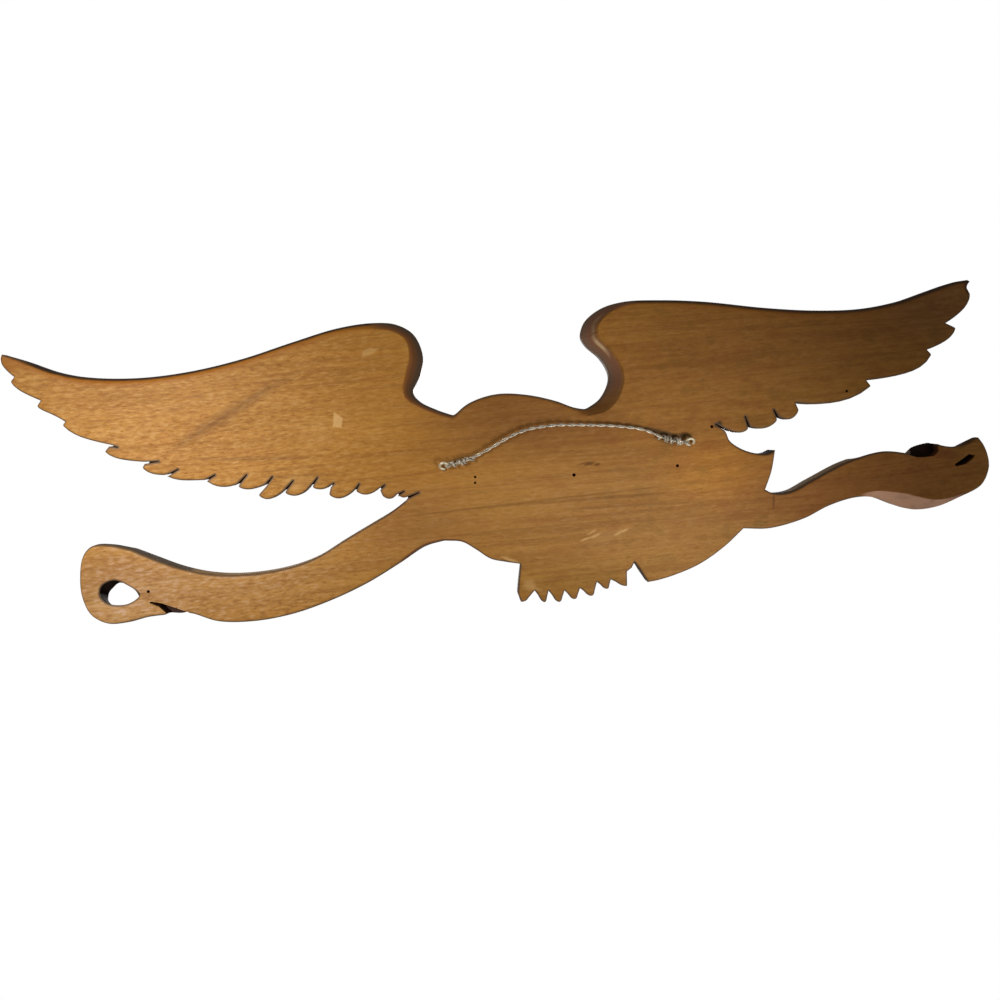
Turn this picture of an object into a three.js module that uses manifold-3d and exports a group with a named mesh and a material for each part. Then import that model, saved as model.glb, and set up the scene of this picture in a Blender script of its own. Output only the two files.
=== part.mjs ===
/*
 A carved wooden eagle for a wall, in millimetres, +Z up.

 One board is sawn and carved into a spread eagle with a neck arch between its wings, a shield, a
 serrated tail and a waving ribbon. Its back is flat, and the carving is on its front. Two small screw
 eyes in the back hold a picture wire, and the wire's crown catches the hook in the wall.

 The board is drawn lying on a bench, carved side up: x runs along the wings, y up the plaque, and z is the
 height above the flat back. It is then stood up, so that the back faces +Y and the carved front -Y.
 The origin is the point of the wire that the wall hook catches.
*/
import * as THREE from "three";
import { mergeVertices } from "three/addons/utils/BufferGeometryUtils.js";
import Module from "manifold-3d";

// Board
const BOARD = 22; // thickness at the breast and head
const GROUND = 8; // thickness left between the carved forms
const STANDOFF = 4; // centre of the wire's crown behind the board's back
const EDGE = 1.6; // usual width of the softened back edge
const TIP_EDGE = 1.1; // the same at a feather's tip
const TOOTH_EDGE = 0.9; // the same on a tail tooth
const SLIT_EDGE = 0.3; // the same along a saw cut
const SLIT_MOUTH = 1.3; // width of a saw cut at the outline
const SLIT_END = 0.5; // width of a saw cut at its inner end
const BEVEL_SLOPE = 1.15; // depth of a softened edge for each millimetre of its width
const LEAST_BEVEL = 0.6; // depth of the narrowest softened edge
const MOST_BEVEL = 10.5; // and of the widest
const EAGLE_AXIS = 21; // x midway between the wings
const UNDER = 4; // the carved forms are drawn from this height, inside the board
const OVERLAP = 1; // how far a cutting body runs past what it cuts
const SAME_POINT = 0.35; // edge points closer than this are one
const MOST_INSET = 0.4; // share of the room at an edge point that its softened edge may take
const MOST_MITRE = 1.5; // how far a corner may stretch a softened edge
const EASED = 0.7; // share of its width that a softened edge keeps each time it would cross itself
const BENCH = [[-340, -140], [380, -140], [380, 110], [-340, 110]]; // reaches past the board on all sides

// Edge of the board, run anticlockwise as seen from the front. Each point is x, y and the width of the
// softened back edge there; without a third number that width is EDGE.
const TAIL_START = [
  [-64.4, -113.4, 1],
  [-59.4, -103.4, 1],
  [-56.3, -98.5, 1],
  [-54.3, -102.2, 1],
  [-50.6, -104.6, 0.8],
];
// Each tail tooth is its tip and the notch after it. Its flanks bulge: each of their points is two shares of
// the way to the tip, along the tail's edge and down.
const TAIL_TEETH = [
  [-49.6, -114.6, -39, -109],
  [-36, -115.3, -29.3, -109.8],
  [-24.7, -119, -17.3, -112.9],
  [-12.8, -120.1, -6.5, -113.5],
  [-2, -121, 4.5, -112.5],
  [8, -120.1, 14, -111.4],
  [23.8, -118.2, 25.8, -112.1],
];
const FLANK_DOWN = [[0.4, 0.55], [0.66, 0.92]];
const FLANK_UP = [[0.62, 0.8], [0.32, 0.36]];
const TAIL_SIDE = [
  [25.8, -112.1, 1],
  [24.5, -104.1],
  [22.2, -92],
];
const BELLY_EDGE = [
  [22.2, -92],
  [32, -89.6],
  [42, -86.4],
  [51.3, -79.1],
  [60.3, -72.9],
  [72.2, -70.9],
];
const RIBBON_RIGHT_LOWER = [
  [72.2, -70.9, 2],
  [85.3, -73.5, 2.4],
  [103.5, -83.1, 2.4],
  [128, -95, 2.2],
  [155.8, -104.8],
  [182, -111],
  [208, -113],
  [231, -110.5, 1.2],
  [249.6, -102.9, 1],
  [257, -103.6, 1],
  [265.4, -102.4, 1],
];
const CURL = [
  [265.4, -102.4, 1],
  [278, -103, 2],
  [291, -105.1, 2],
  [305.2, -104.6, 1.6],
  [315.5, -97.6, 1.4],
  [320, -84.6, 1.4],
  [319.6, -70, 1.6],
  [316, -57, 2],
  [309.2, -51, 2],
  [297, -51.5, 1.6],
  [283, -56],
];
const RIBBON_RIGHT_UPPER = [
  [283, -56],
  [268, -64.3],
  [250, -72.6],
  [230, -78.3],
  [205, -80.6],
  [180, -78.9],
  [160.2, -73.9],
  [140.5, -64.2],
  [120.4, -54.6],
  [105.7, -47.5],
  [95.2, -40.9, 1],
];
// Each lobe of a wing's hind edge, from the body outwards: the inner end of the saw cut before it, the cut's
// mouth, the lowest point of its belly, and its tip. A plain notch has its cut's end at its mouth.
const LOBES_RIGHT = [
  [86, -36.3, 94.8, -39.3, 96.8, -38.7, 99.2, -37.7],
  [96, -34.5, 101, -36.8, 105.5, -38.5, 110.9, -36.3],
  [108.5, -29, 112.4, -31.6, 120, -33.9, 128, -31.7],
  [125.5, -26.5, 129, -31, 138, -34.6, 146.8, -32],
  [142.5, -24.5, 145.3, -26.3, 150, -27.5, 157.1, -26.2],
  [153, -19.5, 157.6, -24.7, 166, -29.5, 175.9, -28.2],
  [169.5, -20, 176.4, -26.7, 186, -30.4, 194.1, -27.6],
  [183, -16, 188.3, -21.4, 197, -22.6, 206.4, -21.1],
  [200, -13, 206.8, -19.2, 215.9, -19.4, 226.6, -15.5],
  [221, -11, 227.9, -14.4, 239.7, -12.5, 253.6, -8.8],
  [245, -5, 253.2, -8.5, 261.1, -6.5, 269.1, -1.7],
  [257, 1.5, 266.9, 1.5, 279.9, 5.3, 292.5, 11.4],
  [283, 13.5, 288.7, 15.3, 302.8, 21.7, 318, 31.6],
  [315.9, 33.8, 315.9, 33.8, 325.2, 40.7, 333.1, 45.7],
  [330.2, 49.3, 330.2, 49.3, 339.5, 55.3, 348.2, 63.5],
  [345.4, 66.4, 345.4, 66.4, 350.5, 72.7, 352.6, 79.4],
];
const LOBES_LEFT = [
  [-119.6, -9.4, -126, -13.9, -134.5, -16.4, -142.4, -14.8],
  [-140.3, -6, -142.4, -13.6, -151.9, -15.2, -162.4, -11.3],
  [-160.3, -3.3, -162.6, -8.7, -170.9, -10.8, -177.9, -5.7],
  [-176, -0.2, -176, -0.2, -199.7, -1.6, -228.9, 6.1],
  [-226, 10.3, -226, 10.3, -252.7, 13.5, -272.2, 23.6],
  [-269.2, 27.2, -269.2, 27.2, -281.3, 32, -290.1, 40.1],
  [-283.2, 44, -283.2, 44, -294.3, 51.5, -301.3, 61.8],
  [-299.2, 66.2, -299.2, 66.2, -299.8, 68.6, -301.6, 70.6],
];
const WING_RIGHT_LEADING = [
  [351.4, 81.9, 1],
  [338.3, 76.6, 2.4],
  [318.4, 67.3, 3],
  [296.1, 61.5, 3.6],
  [264, 58.3, 3.6],
  [230, 59.5, 3.6],
  [195, 64.5, 3.4],
  [160, 72.5, 3.2],
  [130, 78.8, 3.4],
  [106, 80.4, 4.8],
  [90, 77.9, 5.8],
  [78.9, 69.9, 7],
  [74.6, 55, 9],
  [77.8, 42.8, 9.5],
  [83.6, 31.3, 6.2],
  [79.5, 25, 4],
  [68.2, 18.1, 3.4],
  [57.5, 13.3, 3],
];
const NECK = [
  [57.5, 13.3, 3],
  [46.5, 20.6, 2.2],
  [28, 24.9, 2.2],
  [8, 22.8, 2.2],
  [-12.3, 16.6, 2.4],
  [-24.2, 11.1, 3],
  [-33.2, 8.8, 5],
];
const WING_LEFT_LEADING = [
  [-33.2, 8.8, 5],
  [-44.4, 15.7, 9],
  [-51.3, 29.3, 9],
  [-46.6, 42.6, 8],
  [-37.1, 52.5, 10],
  [-34.2, 58.4, 12],
  [-37.8, 68.4, 9.5],
  [-48.4, 75.7, 6.5],
  [-64, 78.8, 3.6],
  [-90, 77.5, 3],
  [-120, 73.7, 3.2],
  [-160, 66, 3.4],
  [-195, 61, 3.6],
  [-226, 59.3, 3.6],
  [-252, 61.9, 3],
  [-275, 67.5, 2.4],
  [-290, 71, 1.4],
  [-299.6, 71.6, 0.6],
];
const SHIELD_TOP = [
  [-126.9, -16.6, 1],
  [-129, -22],
  [-137.5, -28.7],
  [-147, -32.3],
  [-154, -33],
  [-159.5, -31.2, 1],
];
const SHIELD_SIDE = [
  [-159.5, -31.2, 1],
  [-156, -45.1, 1],
  [-150.6, -57.6, 1],
];
const RIBBON_LEFT_UPPER = [
  [-150.6, -57.6, 1],
  [-156, -60.6, 1],
  [-168, -60.7],
  [-184, -54.2],
  [-208, -44.3],
  [-234, -39.3],
  [-251.2, -42.3, 1],
  [-256.4, -43.8, 1],
  [-257.4, -42.8, 1],
  [-256.2, -40.2, 1],
  [-258.4, -38.8, 1],
  [-266, -37.2, 1],
  [-270.4, -37, 1],
  [-275.6, -39.2, 1],
  [-284, -40.7, 1],
  [-289.9, -38.9, 1],
  [-295.6, -36.3, 1],
  [-298.8, -35.7, 1],
  [-301.3, -36.2, 1],
];
const RIBBON_LEFT_LOWER = [
  [-301.3, -36.2, 1],
  [-304.6, -41, 1.4],
  [-307.2, -48.5, 1.4],
  [-307.7, -57.2, 1.4],
  [-301.9, -69, 1.6],
  [-286.2, -76.3, 2.4],
  [-272, -81.8, 6],
  [-258, -82.8, 9.5],
  [-243.2, -77.9, 9.5],
  [-227.1, -70.7, 5],
  [-212, -69.3],
  [-194.3, -73.1],
  [-176.1, -80.3],
  [-152, -84.6],
  [-133.6, -82.9, 1],
];
const SHIELD_LOWER = [
  [-133.6, -82.9, 1],
  [-119.7, -94.1],
  [-101.6, -104.5],
  [-84, -110.3],
  [-72, -112.8],
  [-64.4, -113.4, 1],
];

// Openings and hollows in the board
const CURL_HOLE_BACK = [
  [281.4, -87],
  [288.5, -79.8],
  [297, -75.5],
  [305.8, -78.7],
  [307.4, -85.5],
  [302.5, -91],
  [290, -92.4],
];
const CURL_HOLE_FRONT = [
  [284.5, -90],
  [288, -82.5],
  [296, -78.3],
  [301.5, -81.8],
  [306, -86],
  [308.6, -91],
  [304.5, -96],
  [294, -96.4],
];
const POCKET_DEPTH = 9.5; // dark undercuts that part the ribbon from its own fold
const POCKETS = [
  [
    [246, -108], [249.8, -102.2], [258, -98.3], [267.5, -94], [274.6, -92.2], [275.2, -93.3],
    [269.1, -96.5], [265.2, -101], [266, -108],
  ],
  [
    [-272.4, -38], [-272.8, -43.2], [-269.4, -45.9], [-262.6, -46.3], [-256.6, -45.5], [-252.6, -43.6],
    [-250.2, -42], [-249, -32], [-272.4, -32],
  ],
  [
    [-298, -48.2], [-295.6, -50.9], [-291, -53.6], [-284, -54.6], [-283.2, -52.8], [-288.4, -50],
    [-293.6, -46.8],
  ],
];
// Nail holes and small pits in the back: x, y and radius
const PITS = [
  [47.1, -29.5, 0.9],
  [47.5, -33.4, 0.9],
  [-20.1, -34.7, 1.2],
  [-91.3, -35.3, 1.1],
  [-117, -11, 1.1],
  [-211.5, 4.4, 1],
  [275, -85.4, 1.1],
];
const PIT_DEPTH = 5;

// Wings: lines that the feathers' roots and tips follow on the right wing; the left wing mirrors them.
const WING_FIRST = 69; // distance from the eagle's axis to the first quill's tip
const WING_REACH = 270; // and from there to the last one's
const QUILL_ROOTS = [[62, -24], [96, 14], [134, 36], [168, 43], [222, 46], [292, 60]];
const COVERT_ROOTS = [[64, -4], [98, 30], [138, 50], [176, 54], [232, 53], [296, 63]];
const COVERT_TIPS = [[86, -25], [122, -10], [165, 1], [212, 12], [268, 27], [324, 57]];
const SCALE_ROOTS = [[66, 14], [98, 44], [138, 62], [186, 60], [240, 54], [300, 63]];
const SCALE_TIPS = [[82, 4], [114, 22], [156, 29], [204, 33], [258, 41], [314, 60]];
const COVERTS = 8;
const SCALES = 8;
const EXTRA_TIPS_LEFT = [[-120, -14], [-198, -2.5], [-248, 13]]; // feathers that end flush inside a long lobe
const ARM = [
  // x, y, half width and height of the ridge behind a wing's leading edge
  [86, 14, 20, 15],
  [92, 48, 27, 21],
  [112, 65, 25, 21.5],
  [150, 63, 18, 20],
  [200, 54, 13, 18],
  [250, 50, 11, 16],
  [295, 57, 9, 14],
  [338, 72, 6, 12],
];

// Body, head and limbs: x, y, half width and height along each form's middle line
const BODY = [
  [34, 4, 20, 17],
  [26, -20, 33, 19.5],
  [10, -45, 44, 20.5],
  [-2, -70, 38, 19],
  [-8, -92, 29, 14],
];
const SHOULDER_RIGHT = [[36, -44, 24, 14], [62, -16, 24, 16.5], [88, 22, 20, 16]];
const SHOULDER_LEFT = [[2, -44, 24, 14], [-22, -16, 24, 16.5], [-46, 22, 20, 16]];
const NECK_AND_HEAD = [
  [38, -22, 22, 19],
  [37, -2, 22, 20.5],
  [22, 5, 19, 21.5],
  [4, 3, 17, BOARD],
  [-10, 1, 13, 21],
  [-20, 0, 8, 18],
];
const BEAK = [
  [-12, 0, 9, 18],
  [-25, 1, 8.4, 18.5],
  [-35, -3, 6.4, 17.5],
  [-39.5, -11, 3.6, 16],
  [-38, -19, 1, 13],
];
const BROW = [[8, 12, 3, 21.8], [-4, 11, 3.2, 22.6], [-17, 7.5, 2, 20]];
const EYE = [-5, 5.6, 3.4, 22.6];
const EYE_SUNK = 1.6; // how far the eyeball's middle lies under its top
const THIGH_RIGHT = [[22, -40, 15, 20], [38, -56, 15, 21], [54, -66, 9, 18], [62, -66, 6, 16]];
const THIGH_LEFT = [[2, -44, 15, 20], [-16, -58, 14, 21], [-32, -66, 9, 20], [-40, -67, 6, 19.5]];
const TOES = [
  [[58, -62, 4.5, 16], [72, -53, 4.2, 17.5], [82, -55, 3.2, 16], [87, -62, 1, 13]],
  [[60, -66, 4.5, 16], [77, -62, 4.2, 17.5], [88, -66, 3.2, 16], [91, -73, 1, 13]],
  [[58, -68, 4.5, 16], [70, -68, 4.2, 17.5], [79, -73, 3.2, 16], [80, -79, 1, 13]],
  [[-36, -64, 4.5, 19], [-50, -55, 4.2, 21], [-60, -57, 3.2, 20], [-64, -64, 1, 17]],
  [[-38, -67, 4.5, 19], [-54, -66, 4.2, 21], [-65, -70, 3.2, 20], [-68, -77, 1, 17]],
  [[-36, -70, 4.5, 19], [-48, -76, 4.2, 21], [-57, -82, 3.2, 20], [-58, -89, 1, 17]],
];
const MOUND_SIDES = 6; // facets over a rounded form

// Feathers: half widths and the heights of their rows
const FEATHER_SECTIONS = [[0, 0.6, 0.2], [0.74, 1, 0.9], [1, 0.4, 1]]; // share of length, width and rise
const LOBE_SHARES = [0.38, 0.76, 1];
const LOBE_FULLNESS = 0.38; // how far a lobe swells near its tip, for each millimetre of its length
const RIDGE = 0.1; // a quill's ridge lies this share of the half width below the feather's middle
const ROW_TAPER = 0.35; // a row's last feather is narrower than its first by this share
const QUILL_HALF = 8.5;
const QUILL_TOP = 12.5;
const QUILL_FALL = 3; // the last quill lies lower than the first by this much
const TIP_OVERRUN = 2; // the quills run past the lobes and are cut by the outline
const COVERT_HALF = 11.5;
const COVERT_TOP = 15.2;
const SCALE_HALF = 11.5;
const SCALE_TOP = 17.4;
const BREAST_ROWS = 4;
const BREAST_FROM = 0.2; // share of the body's length where the first row starts
const BREAST_TO = 0.82; // and the last one
const BREAST_PITCH = 15;
const BREAST_HALF = 7.95;
const BREAST_LENGTH = 18;
const TAIL_ROOT = [-8, -76];
const TAIL_GATHER = 0.4; // the tail feathers' roots spread this much of what their tips do
const TAIL_OVERRUN = 1.03;
const TAIL_HALF = 6.2;
const TAIL_TOP = 13.5;

// Shield, drawn upright from its point and then leaned: height above the point, half width
const SHIELD_POINT = [-63, -113.5];
const SHIELD_LEAN = THREE.MathUtils.degToRad(27);
const SHIELD_HALF = [
  [0, 0], [13.6, 17.8], [35, 35.5], [60, 48.5], [90, 52.8], [117.5, 49.5], [112, 28], [116, 10],
];
const SHIELD_HIGH = 117;
const SHIELD_PLATE = 18;
const SHIELD_SUNK = 14.5;
const SHIELD_RIM = 4;
const POINT_RISE = 1.4; // the rim is this much wider at the shield's point
const TOP_DROP = 0.9; // and this share of its width at the top
const BAR_TOP = 17.4;
const CHIEF_FROM = 84; // the plain upper field starts here
const CHIEF_TO = 130;
const CHIEF_HALF = 60;
const STRIPES = 7;
const STRIPE_PITCH = 13;
const STRIPE_WIDTH = 8;
const STRIPES_FROM = -5;
const STRIPES_TO = 81;

// Ribbon: x, y and height along its middle
const RIBBON_REACH = 22; // half width before the outline cuts it
const RIBBON_HOLLOW = 3; // how far its middle lies below its edges
const RIBBON_MEAN = 0.4; // share of the hollow that the edges stand above the height given
const RIBBON_RIGHT = [
  [60, -50, 9], [95, -58, 11.5], [125, -73, 15], [155, -87, 15.5], [185, -95, 13.5], [212, -96.5, 12],
  [240, -91, 13], [280, -78, 14],
];
const RIBBON_LEFT = [
  [-118, -68, 9], [-150, -71, 12.5], [-176, -68, 15.5], [-202, -60, 14.5], [-226, -55, 12.5], [-262, -62, 13],
];
const RIBBON_END = [[-246, -62, 16], [-272, -59, 19], [-290, -56, 18.5], [-312, -50, 15]];
const CURL_ROLL = [
  [250, -76, 6, 13],
  [268, -71, 9, 16],
  [288, -64.5, 11, 18.5],
  [305, -64, 11, 19],
  [313.5, -76, 9.5, 19],
  [311.5, -92, 9, 18],
  [299, -99.5, 6.5, 17],
  [284, -98, 6, 16],
  [269, -96, 4, 14],
];

// Fittings on the back
const EYE_GAUGE = 1.7; // wire that the screw eyes are bent from
const EYE_RING = 2.95; // radius of the ring to the middle of its wire
const EYE_LEAN = THREE.MathUtils.degToRad(48); // the rings lean upwards, out of the board
const EYE_HEIGHT = 3.2; // ring's centre behind the board's back
const SHANK_DEPTH = 9;
const SHANK_TOP = 0.4; // the shank starts this far inside the board
const SHANK_GAUGE = 2;
const SHANK_TAPER = 0.3; // taken off its radius at the tip
const NECK_END = 0.8; // the neck ends inside the shank
const NECK_BEND = 0.55; // share of the neck where it bends most
const NECK_SAG = 0.2; // and by how much
const PILOT_DROP = 2.5; // the pilot hole's centre below the ring's centre
const GAP = 0.3;
const EYES = { screw_eye_left: [67.4, -19.8], screw_eye_right: [-100.4, -19.6] };
const WIRE = 2.2; // diameter of the twisted wire
const WIRE_LOOP = 1.7; // diameter of the end that passes through a ring
const LOOP_RADIUS = 2.25; // of that end round the ring's own wire
// The wire's route from the left eye to the right one: x, y, and how far it lies behind the board
const WIRE_ROUTE = [
  [62.8, -19.3, 3.3],
  [59, -18.9, 3.4],
  [54, -18.3, 3.4],
  [48, -16.2, 3.1],
  [41, -13.6, 3],
  [33, -10, 3.1],
  [25, -6.2, 3.3],
  [17, -3, 3.6],
  [9, -0.9, 3.9],
  [0, 0, STANDOFF],
  [-11, 0.2, STANDOFF],
  [-23, -0.8, 3.8],
  [-36, -2.2, 3.5],
  [-49, -3.9, 3.2],
  [-60, -6, 3],
  [-69, -8.3, 3],
  [-76, -11.6, 3],
  [-83, -15.6, 3.2],
  [-90, -18, 3.3],
  [-95.8, -19.2, 3.3],
];
const WRAP_LENGTH = 16; // stretch beside each eye that is wound over with the wire's own end
const WRAP_TURNS = 4;
const WRAP_STEPS = 2 * WRAP_TURNS + 1;
const WRAP_RADIUS = [1.8, 2.5]; // between the turns, and over them
const WIRE_SIDES = 6;
const SPAN_STEP = 6; // distance between the sections of the bare wire
const SPAN_CLEAR = 1.02; // the bare wire starts this many wound stretches from each eye

const wasm = await Module();
wasm.setup();

// Joins positions and triangles into a solid; a body drawn inside out is turned round first.
function solid(positions, triangles) {
  const raw = new THREE.BufferGeometry();
  raw.setAttribute("position", new THREE.Float32BufferAttribute(positions, 3));
  raw.setIndex(triangles);
  return solidOf(raw);
}

function solidOf(geometry) {
  const bare = geometry.clone();
  bare.deleteAttribute("normal");
  bare.deleteAttribute("uv");
  const merged = mergeVertices(bare, 1e-4);
  const at = merged.attributes.position.array;
  const triVerts = new Uint32Array(merged.index.array);
  let volume = 0;
  const a = new THREE.Vector3();
  const b = new THREE.Vector3();
  const c = new THREE.Vector3();
  for (let i = 0; i < triVerts.length; i += 3) {
    a.fromArray(at, 3 * triVerts[i]);
    b.fromArray(at, 3 * triVerts[i + 1]);
    c.fromArray(at, 3 * triVerts[i + 2]);
    volume += a.dot(b.cross(c));
  }
  if (volume < 0) triVerts.reverse();
  return new wasm.Manifold(new wasm.Mesh({ numProp: 3, vertProperties: at, triVerts }));
}

function geometryOf(body) {
  const mesh = body.getMesh();
  const flat = new THREE.BufferGeometry();
  flat.setAttribute("position", new THREE.BufferAttribute(mesh.vertProperties, 3));
  flat.setIndex(new THREE.BufferAttribute(mesh.triVerts, 1));
  const faceted = flat.toNonIndexed();
  faceted.computeVertexNormals();
  return faceted;
}

const joined = (bodies) => bodies.reduce((all, body) => all.add(body));

// A body through closed sections of equal count, its ends closed by fans.
function loft(sections) {
  const count = sections[0].length;
  const positions = sections.flat().flatMap((p) => p.toArray());
  const triangles = [];
  for (let s = 0; s + 1 < sections.length; s += 1) {
    for (let i = 0; i < count; i += 1) {
      const here = s * count + i;
      const next = s * count + ((i + 1) % count);
      triangles.push(here, next, here + count, next, next + count, here + count);
    }
  }
  const last = (sections.length - 1) * count;
  for (let i = 1; i + 1 < count; i += 1) {
    triangles.push(0, i + 1, i, last, last + i, last + i + 1);
  }
  return solid(positions, triangles);
}

const through = (points, closed = false) => new THREE.CatmullRomCurve3(points, closed, "centripetal");
const asPoints = (list) => list.map(([x, y, w = EDGE]) => new THREE.Vector3(x, y, w));
const flat = (list) => through(list.map(([x, y]) => new THREE.Vector3(x, y, 0)));

// A smooth line through points of x, y and width.
function smooth(points, steps, closed = false) {
  return through(asPoints(points), closed).getPoints(steps);
}

function mix(a, b, t) {
  return a.map((value, i) => value + (b[i] - value) * t);
}

// The saw cut between two lobes, from its mouth in to its end and out again. hand is 1 on the right wing and
// -1 on the left. A plain notch has no length and stays one point.
function slit([endX, endY], [mouthX, mouthY], hand) {
  const along = new THREE.Vector2(mouthX - endX, mouthY - endY);
  if (along.length() < 1) return [[mouthX, mouthY, TIP_EDGE]];
  const across = new THREE.Vector2(-along.y, along.x).normalize().multiplyScalar(hand / 2);
  const beside = (x, y, width) => [x + width * across.x, y + width * across.y, SLIT_EDGE];
  return [
    beside(mouthX, mouthY, -SLIT_MOUTH),
    beside(endX, endY, -SLIT_END),
    beside(endX, endY, SLIT_END),
    beside(mouthX, mouthY, SLIT_MOUTH),
  ];
}

// A curve from a start through a belly point to a tip, without its start, and a little fuller near the tip.
function bellyLine(start, belly, tip, shares, hand) {
  const control = belly.map((v, i) => 2 * v - (start[i] + tip[i]) / 2);
  return shares.map((t) => {
    const [x, y] = mix(mix(start, control, t), mix(control, tip, t), t);
    const full = LOBE_FULLNESS * hand * t ** 3 * (1 - t);
    return [x + full * (tip[1] - start[1]), y - full * (tip[0] - start[0]), TIP_EDGE];
  });
}

// The hind edge of a wing, from the body out to the wing's tip.
function hindEdge(lobes, hand) {
  const edge = [];
  for (const [endX, endY, mouthX, mouthY, bellyX, bellyY, tipX, tipY] of lobes) {
    edge.push(...slit([endX, endY], [mouthX, mouthY], hand));
    const start = edge[edge.length - 1].slice(0, 2);
    edge.push(...bellyLine(start, [bellyX, bellyY], [tipX, tipY], LOBE_SHARES, hand));
  }
  return edge;
}

// The tail's teeth, each a rounded point between two notches.
function tailEdge(first, teeth) {
  const edge = [];
  let before = first.slice(0, 2);
  for (const [tipX, tipY, nextX, nextY] of teeth) {
    const tip = [tipX, tipY];
    const next = [nextX, nextY];
    const flank = ([x, y]) => ([along, down]) => [x + (tip[0] - x) * along, y + (tip[1] - y) * down];
    const points = [...FLANK_DOWN.map(flank(before)), tip, ...FLANK_UP.map(flank(next)), next];
    edge.push(...points.map((p) => [...p, TOOTH_EDGE]));
    before = next;
  }
  return edge;
}

// The whole edge of the board as points whose z is the softened edge's width.
function boardEdge() {
  const stretches = [
    asPoints(TAIL_START),
    asPoints(tailEdge(TAIL_START[TAIL_START.length - 1], TAIL_TEETH)),
    smooth(TAIL_SIDE, 2),
    smooth(BELLY_EDGE, 7),
    smooth(RIBBON_RIGHT_LOWER, 13),
    smooth(CURL, 16),
    smooth(RIBBON_RIGHT_UPPER, 11),
    asPoints(hindEdge(LOBES_RIGHT, 1)),
    smooth(WING_RIGHT_LEADING, 25),
    smooth(NECK, 8),
    smooth(WING_LEFT_LEADING, 23),
    asPoints(hindEdge(LOBES_LEFT, -1)).reverse(),
    smooth(SHIELD_TOP, 6),
    smooth(SHIELD_SIDE, 2),
    smooth(RIBBON_LEFT_UPPER, 13),
    smooth(RIBBON_LEFT_LOWER, 17),
    smooth(SHIELD_LOWER, 8),
  ];
  const edge = [];
  for (const point of stretches.flat()) {
    const last = edge[edge.length - 1];
    if (!last || Math.hypot(point.x - last.x, point.y - last.y) > SAME_POINT) edge.push(point);
  }
  edge.pop(); // the last stretch ends where the first one starts
  return edge;
}

// The distance straight inwards from an edge point to the far side of the board.
function roomInside(edge, index, inward) {
  const from = edge[index];
  let room = Infinity;
  for (let i = 0; i < edge.length; i += 1) {
    const next = (i + 1) % edge.length;
    if (i === index || next === index) continue;
    const ax = edge[i].x - from.x;
    const ay = edge[i].y - from.y;
    const bx = edge[next].x - edge[i].x;
    const by = edge[next].y - edge[i].y;
    const cross = inward.x * by - inward.y * bx;
    if (Math.abs(cross) < 1e-9) continue;
    const far = (ax * by - ay * bx) / cross;
    const along = (ax * inward.y - ay * inward.x) / cross;
    if (far > 0 && along >= 0 && along <= 1) room = Math.min(room, far);
  }
  return room;
}

// Whether two stretches of a line cross.
function cross(a, b, c, d) {
  const side = (p, q, r) => (q.x - p.x) * (r.y - p.y) - (q.y - p.y) * (r.x - p.x);
  return side(a, b, c) * side(a, b, d) < 0 && side(c, d, a) * side(c, d, b) < 0;
}

// The edge of the flat back: each point moved inwards by the width of the softened edge there. Where the moved
// line would cross itself, its points move back out again.
function backEdge(edge) {
  const count = edge.length;
  const moves = edge.map((point, i) => {
    const before = edge[(i + count - 1) % count];
    const after = edge[(i + 1) % count];
    const first = new THREE.Vector2(before.y - point.y, point.x - before.x).normalize();
    const second = new THREE.Vector2(point.y - after.y, after.x - point.x).normalize();
    const inward = first.clone().add(second).normalize();
    const mitre = Math.min(1 / Math.max(inward.dot(first), 0.2), MOST_MITRE);
    return inward.multiplyScalar(Math.min(point.z * mitre, roomInside(edge, i, inward) * MOST_INSET));
  });
  for (let clear = false; !clear; ) {
    clear = true;
    const moved = edge.map((point, i) => new THREE.Vector2(point.x + moves[i].x, point.y + moves[i].y));
    for (let i = 0; i < count; i += 1) {
      for (let j = i + 2; j < Math.min(i + count - 1, count); j += 1) {
        const ends = [i, (i + 1) % count, j, (j + 1) % count];
        if (!cross(...ends.map((k) => moved[k]))) continue;
        for (const k of ends) moves[k].multiplyScalar(EASED);
        clear = false;
      }
    }
  }
  return edge.map((point, i) => new THREE.Vector2(point.x + moves[i].x, point.y + moves[i].y));
}

// The board's blank: its flat back, the softened edge and the upright sides.
function blank() {
  const edge = boardEdge();
  const ring = (points, height) => points.map((p, i) => new THREE.Vector3(p.x, p.y, height(edge[i])));
  const rings = [
    ring(backEdge(edge), () => 0),
    ring(edge, (p) => THREE.MathUtils.clamp(p.z * BEVEL_SLOPE, LEAST_BEVEL, MOST_BEVEL)),
    ring(edge, () => BOARD + 2 * OVERLAP),
  ];
  const count = edge.length;
  const positions = rings.flat().flatMap((p) => p.toArray());
  const triangles = [];
  for (let r = 0; r + 1 < rings.length; r += 1) {
    for (let i = 0; i < count; i += 1) {
      const here = r * count + i;
      const next = r * count + ((i + 1) % count);
      triangles.push(here, next, next + count, here, next + count, here + count);
    }
  }
  const cap = (points) => THREE.ShapeUtils.triangulateShape(points.map((p) => new THREE.Vector2(p.x, p.y)), []);
  for (const [a, b, c] of cap(rings[0])) triangles.push(a, c, b);
  for (const [a, b, c] of cap(rings[2])) triangles.push(2 * count + a, 2 * count + b, 2 * count + c);
  return solid(positions, triangles);
}

// A straight-sided body over an outline, from one height to another.
function slab(points, from, to) {
  const outline = new THREE.Shape(points.map(([x, y]) => new THREE.Vector2(x, y)));
  const extruded = new THREE.ExtrudeGeometry(outline, { depth: to - from, bevelEnabled: false, steps: 1 });
  return solidOf(extruded.translate(0, 0, from));
}

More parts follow.
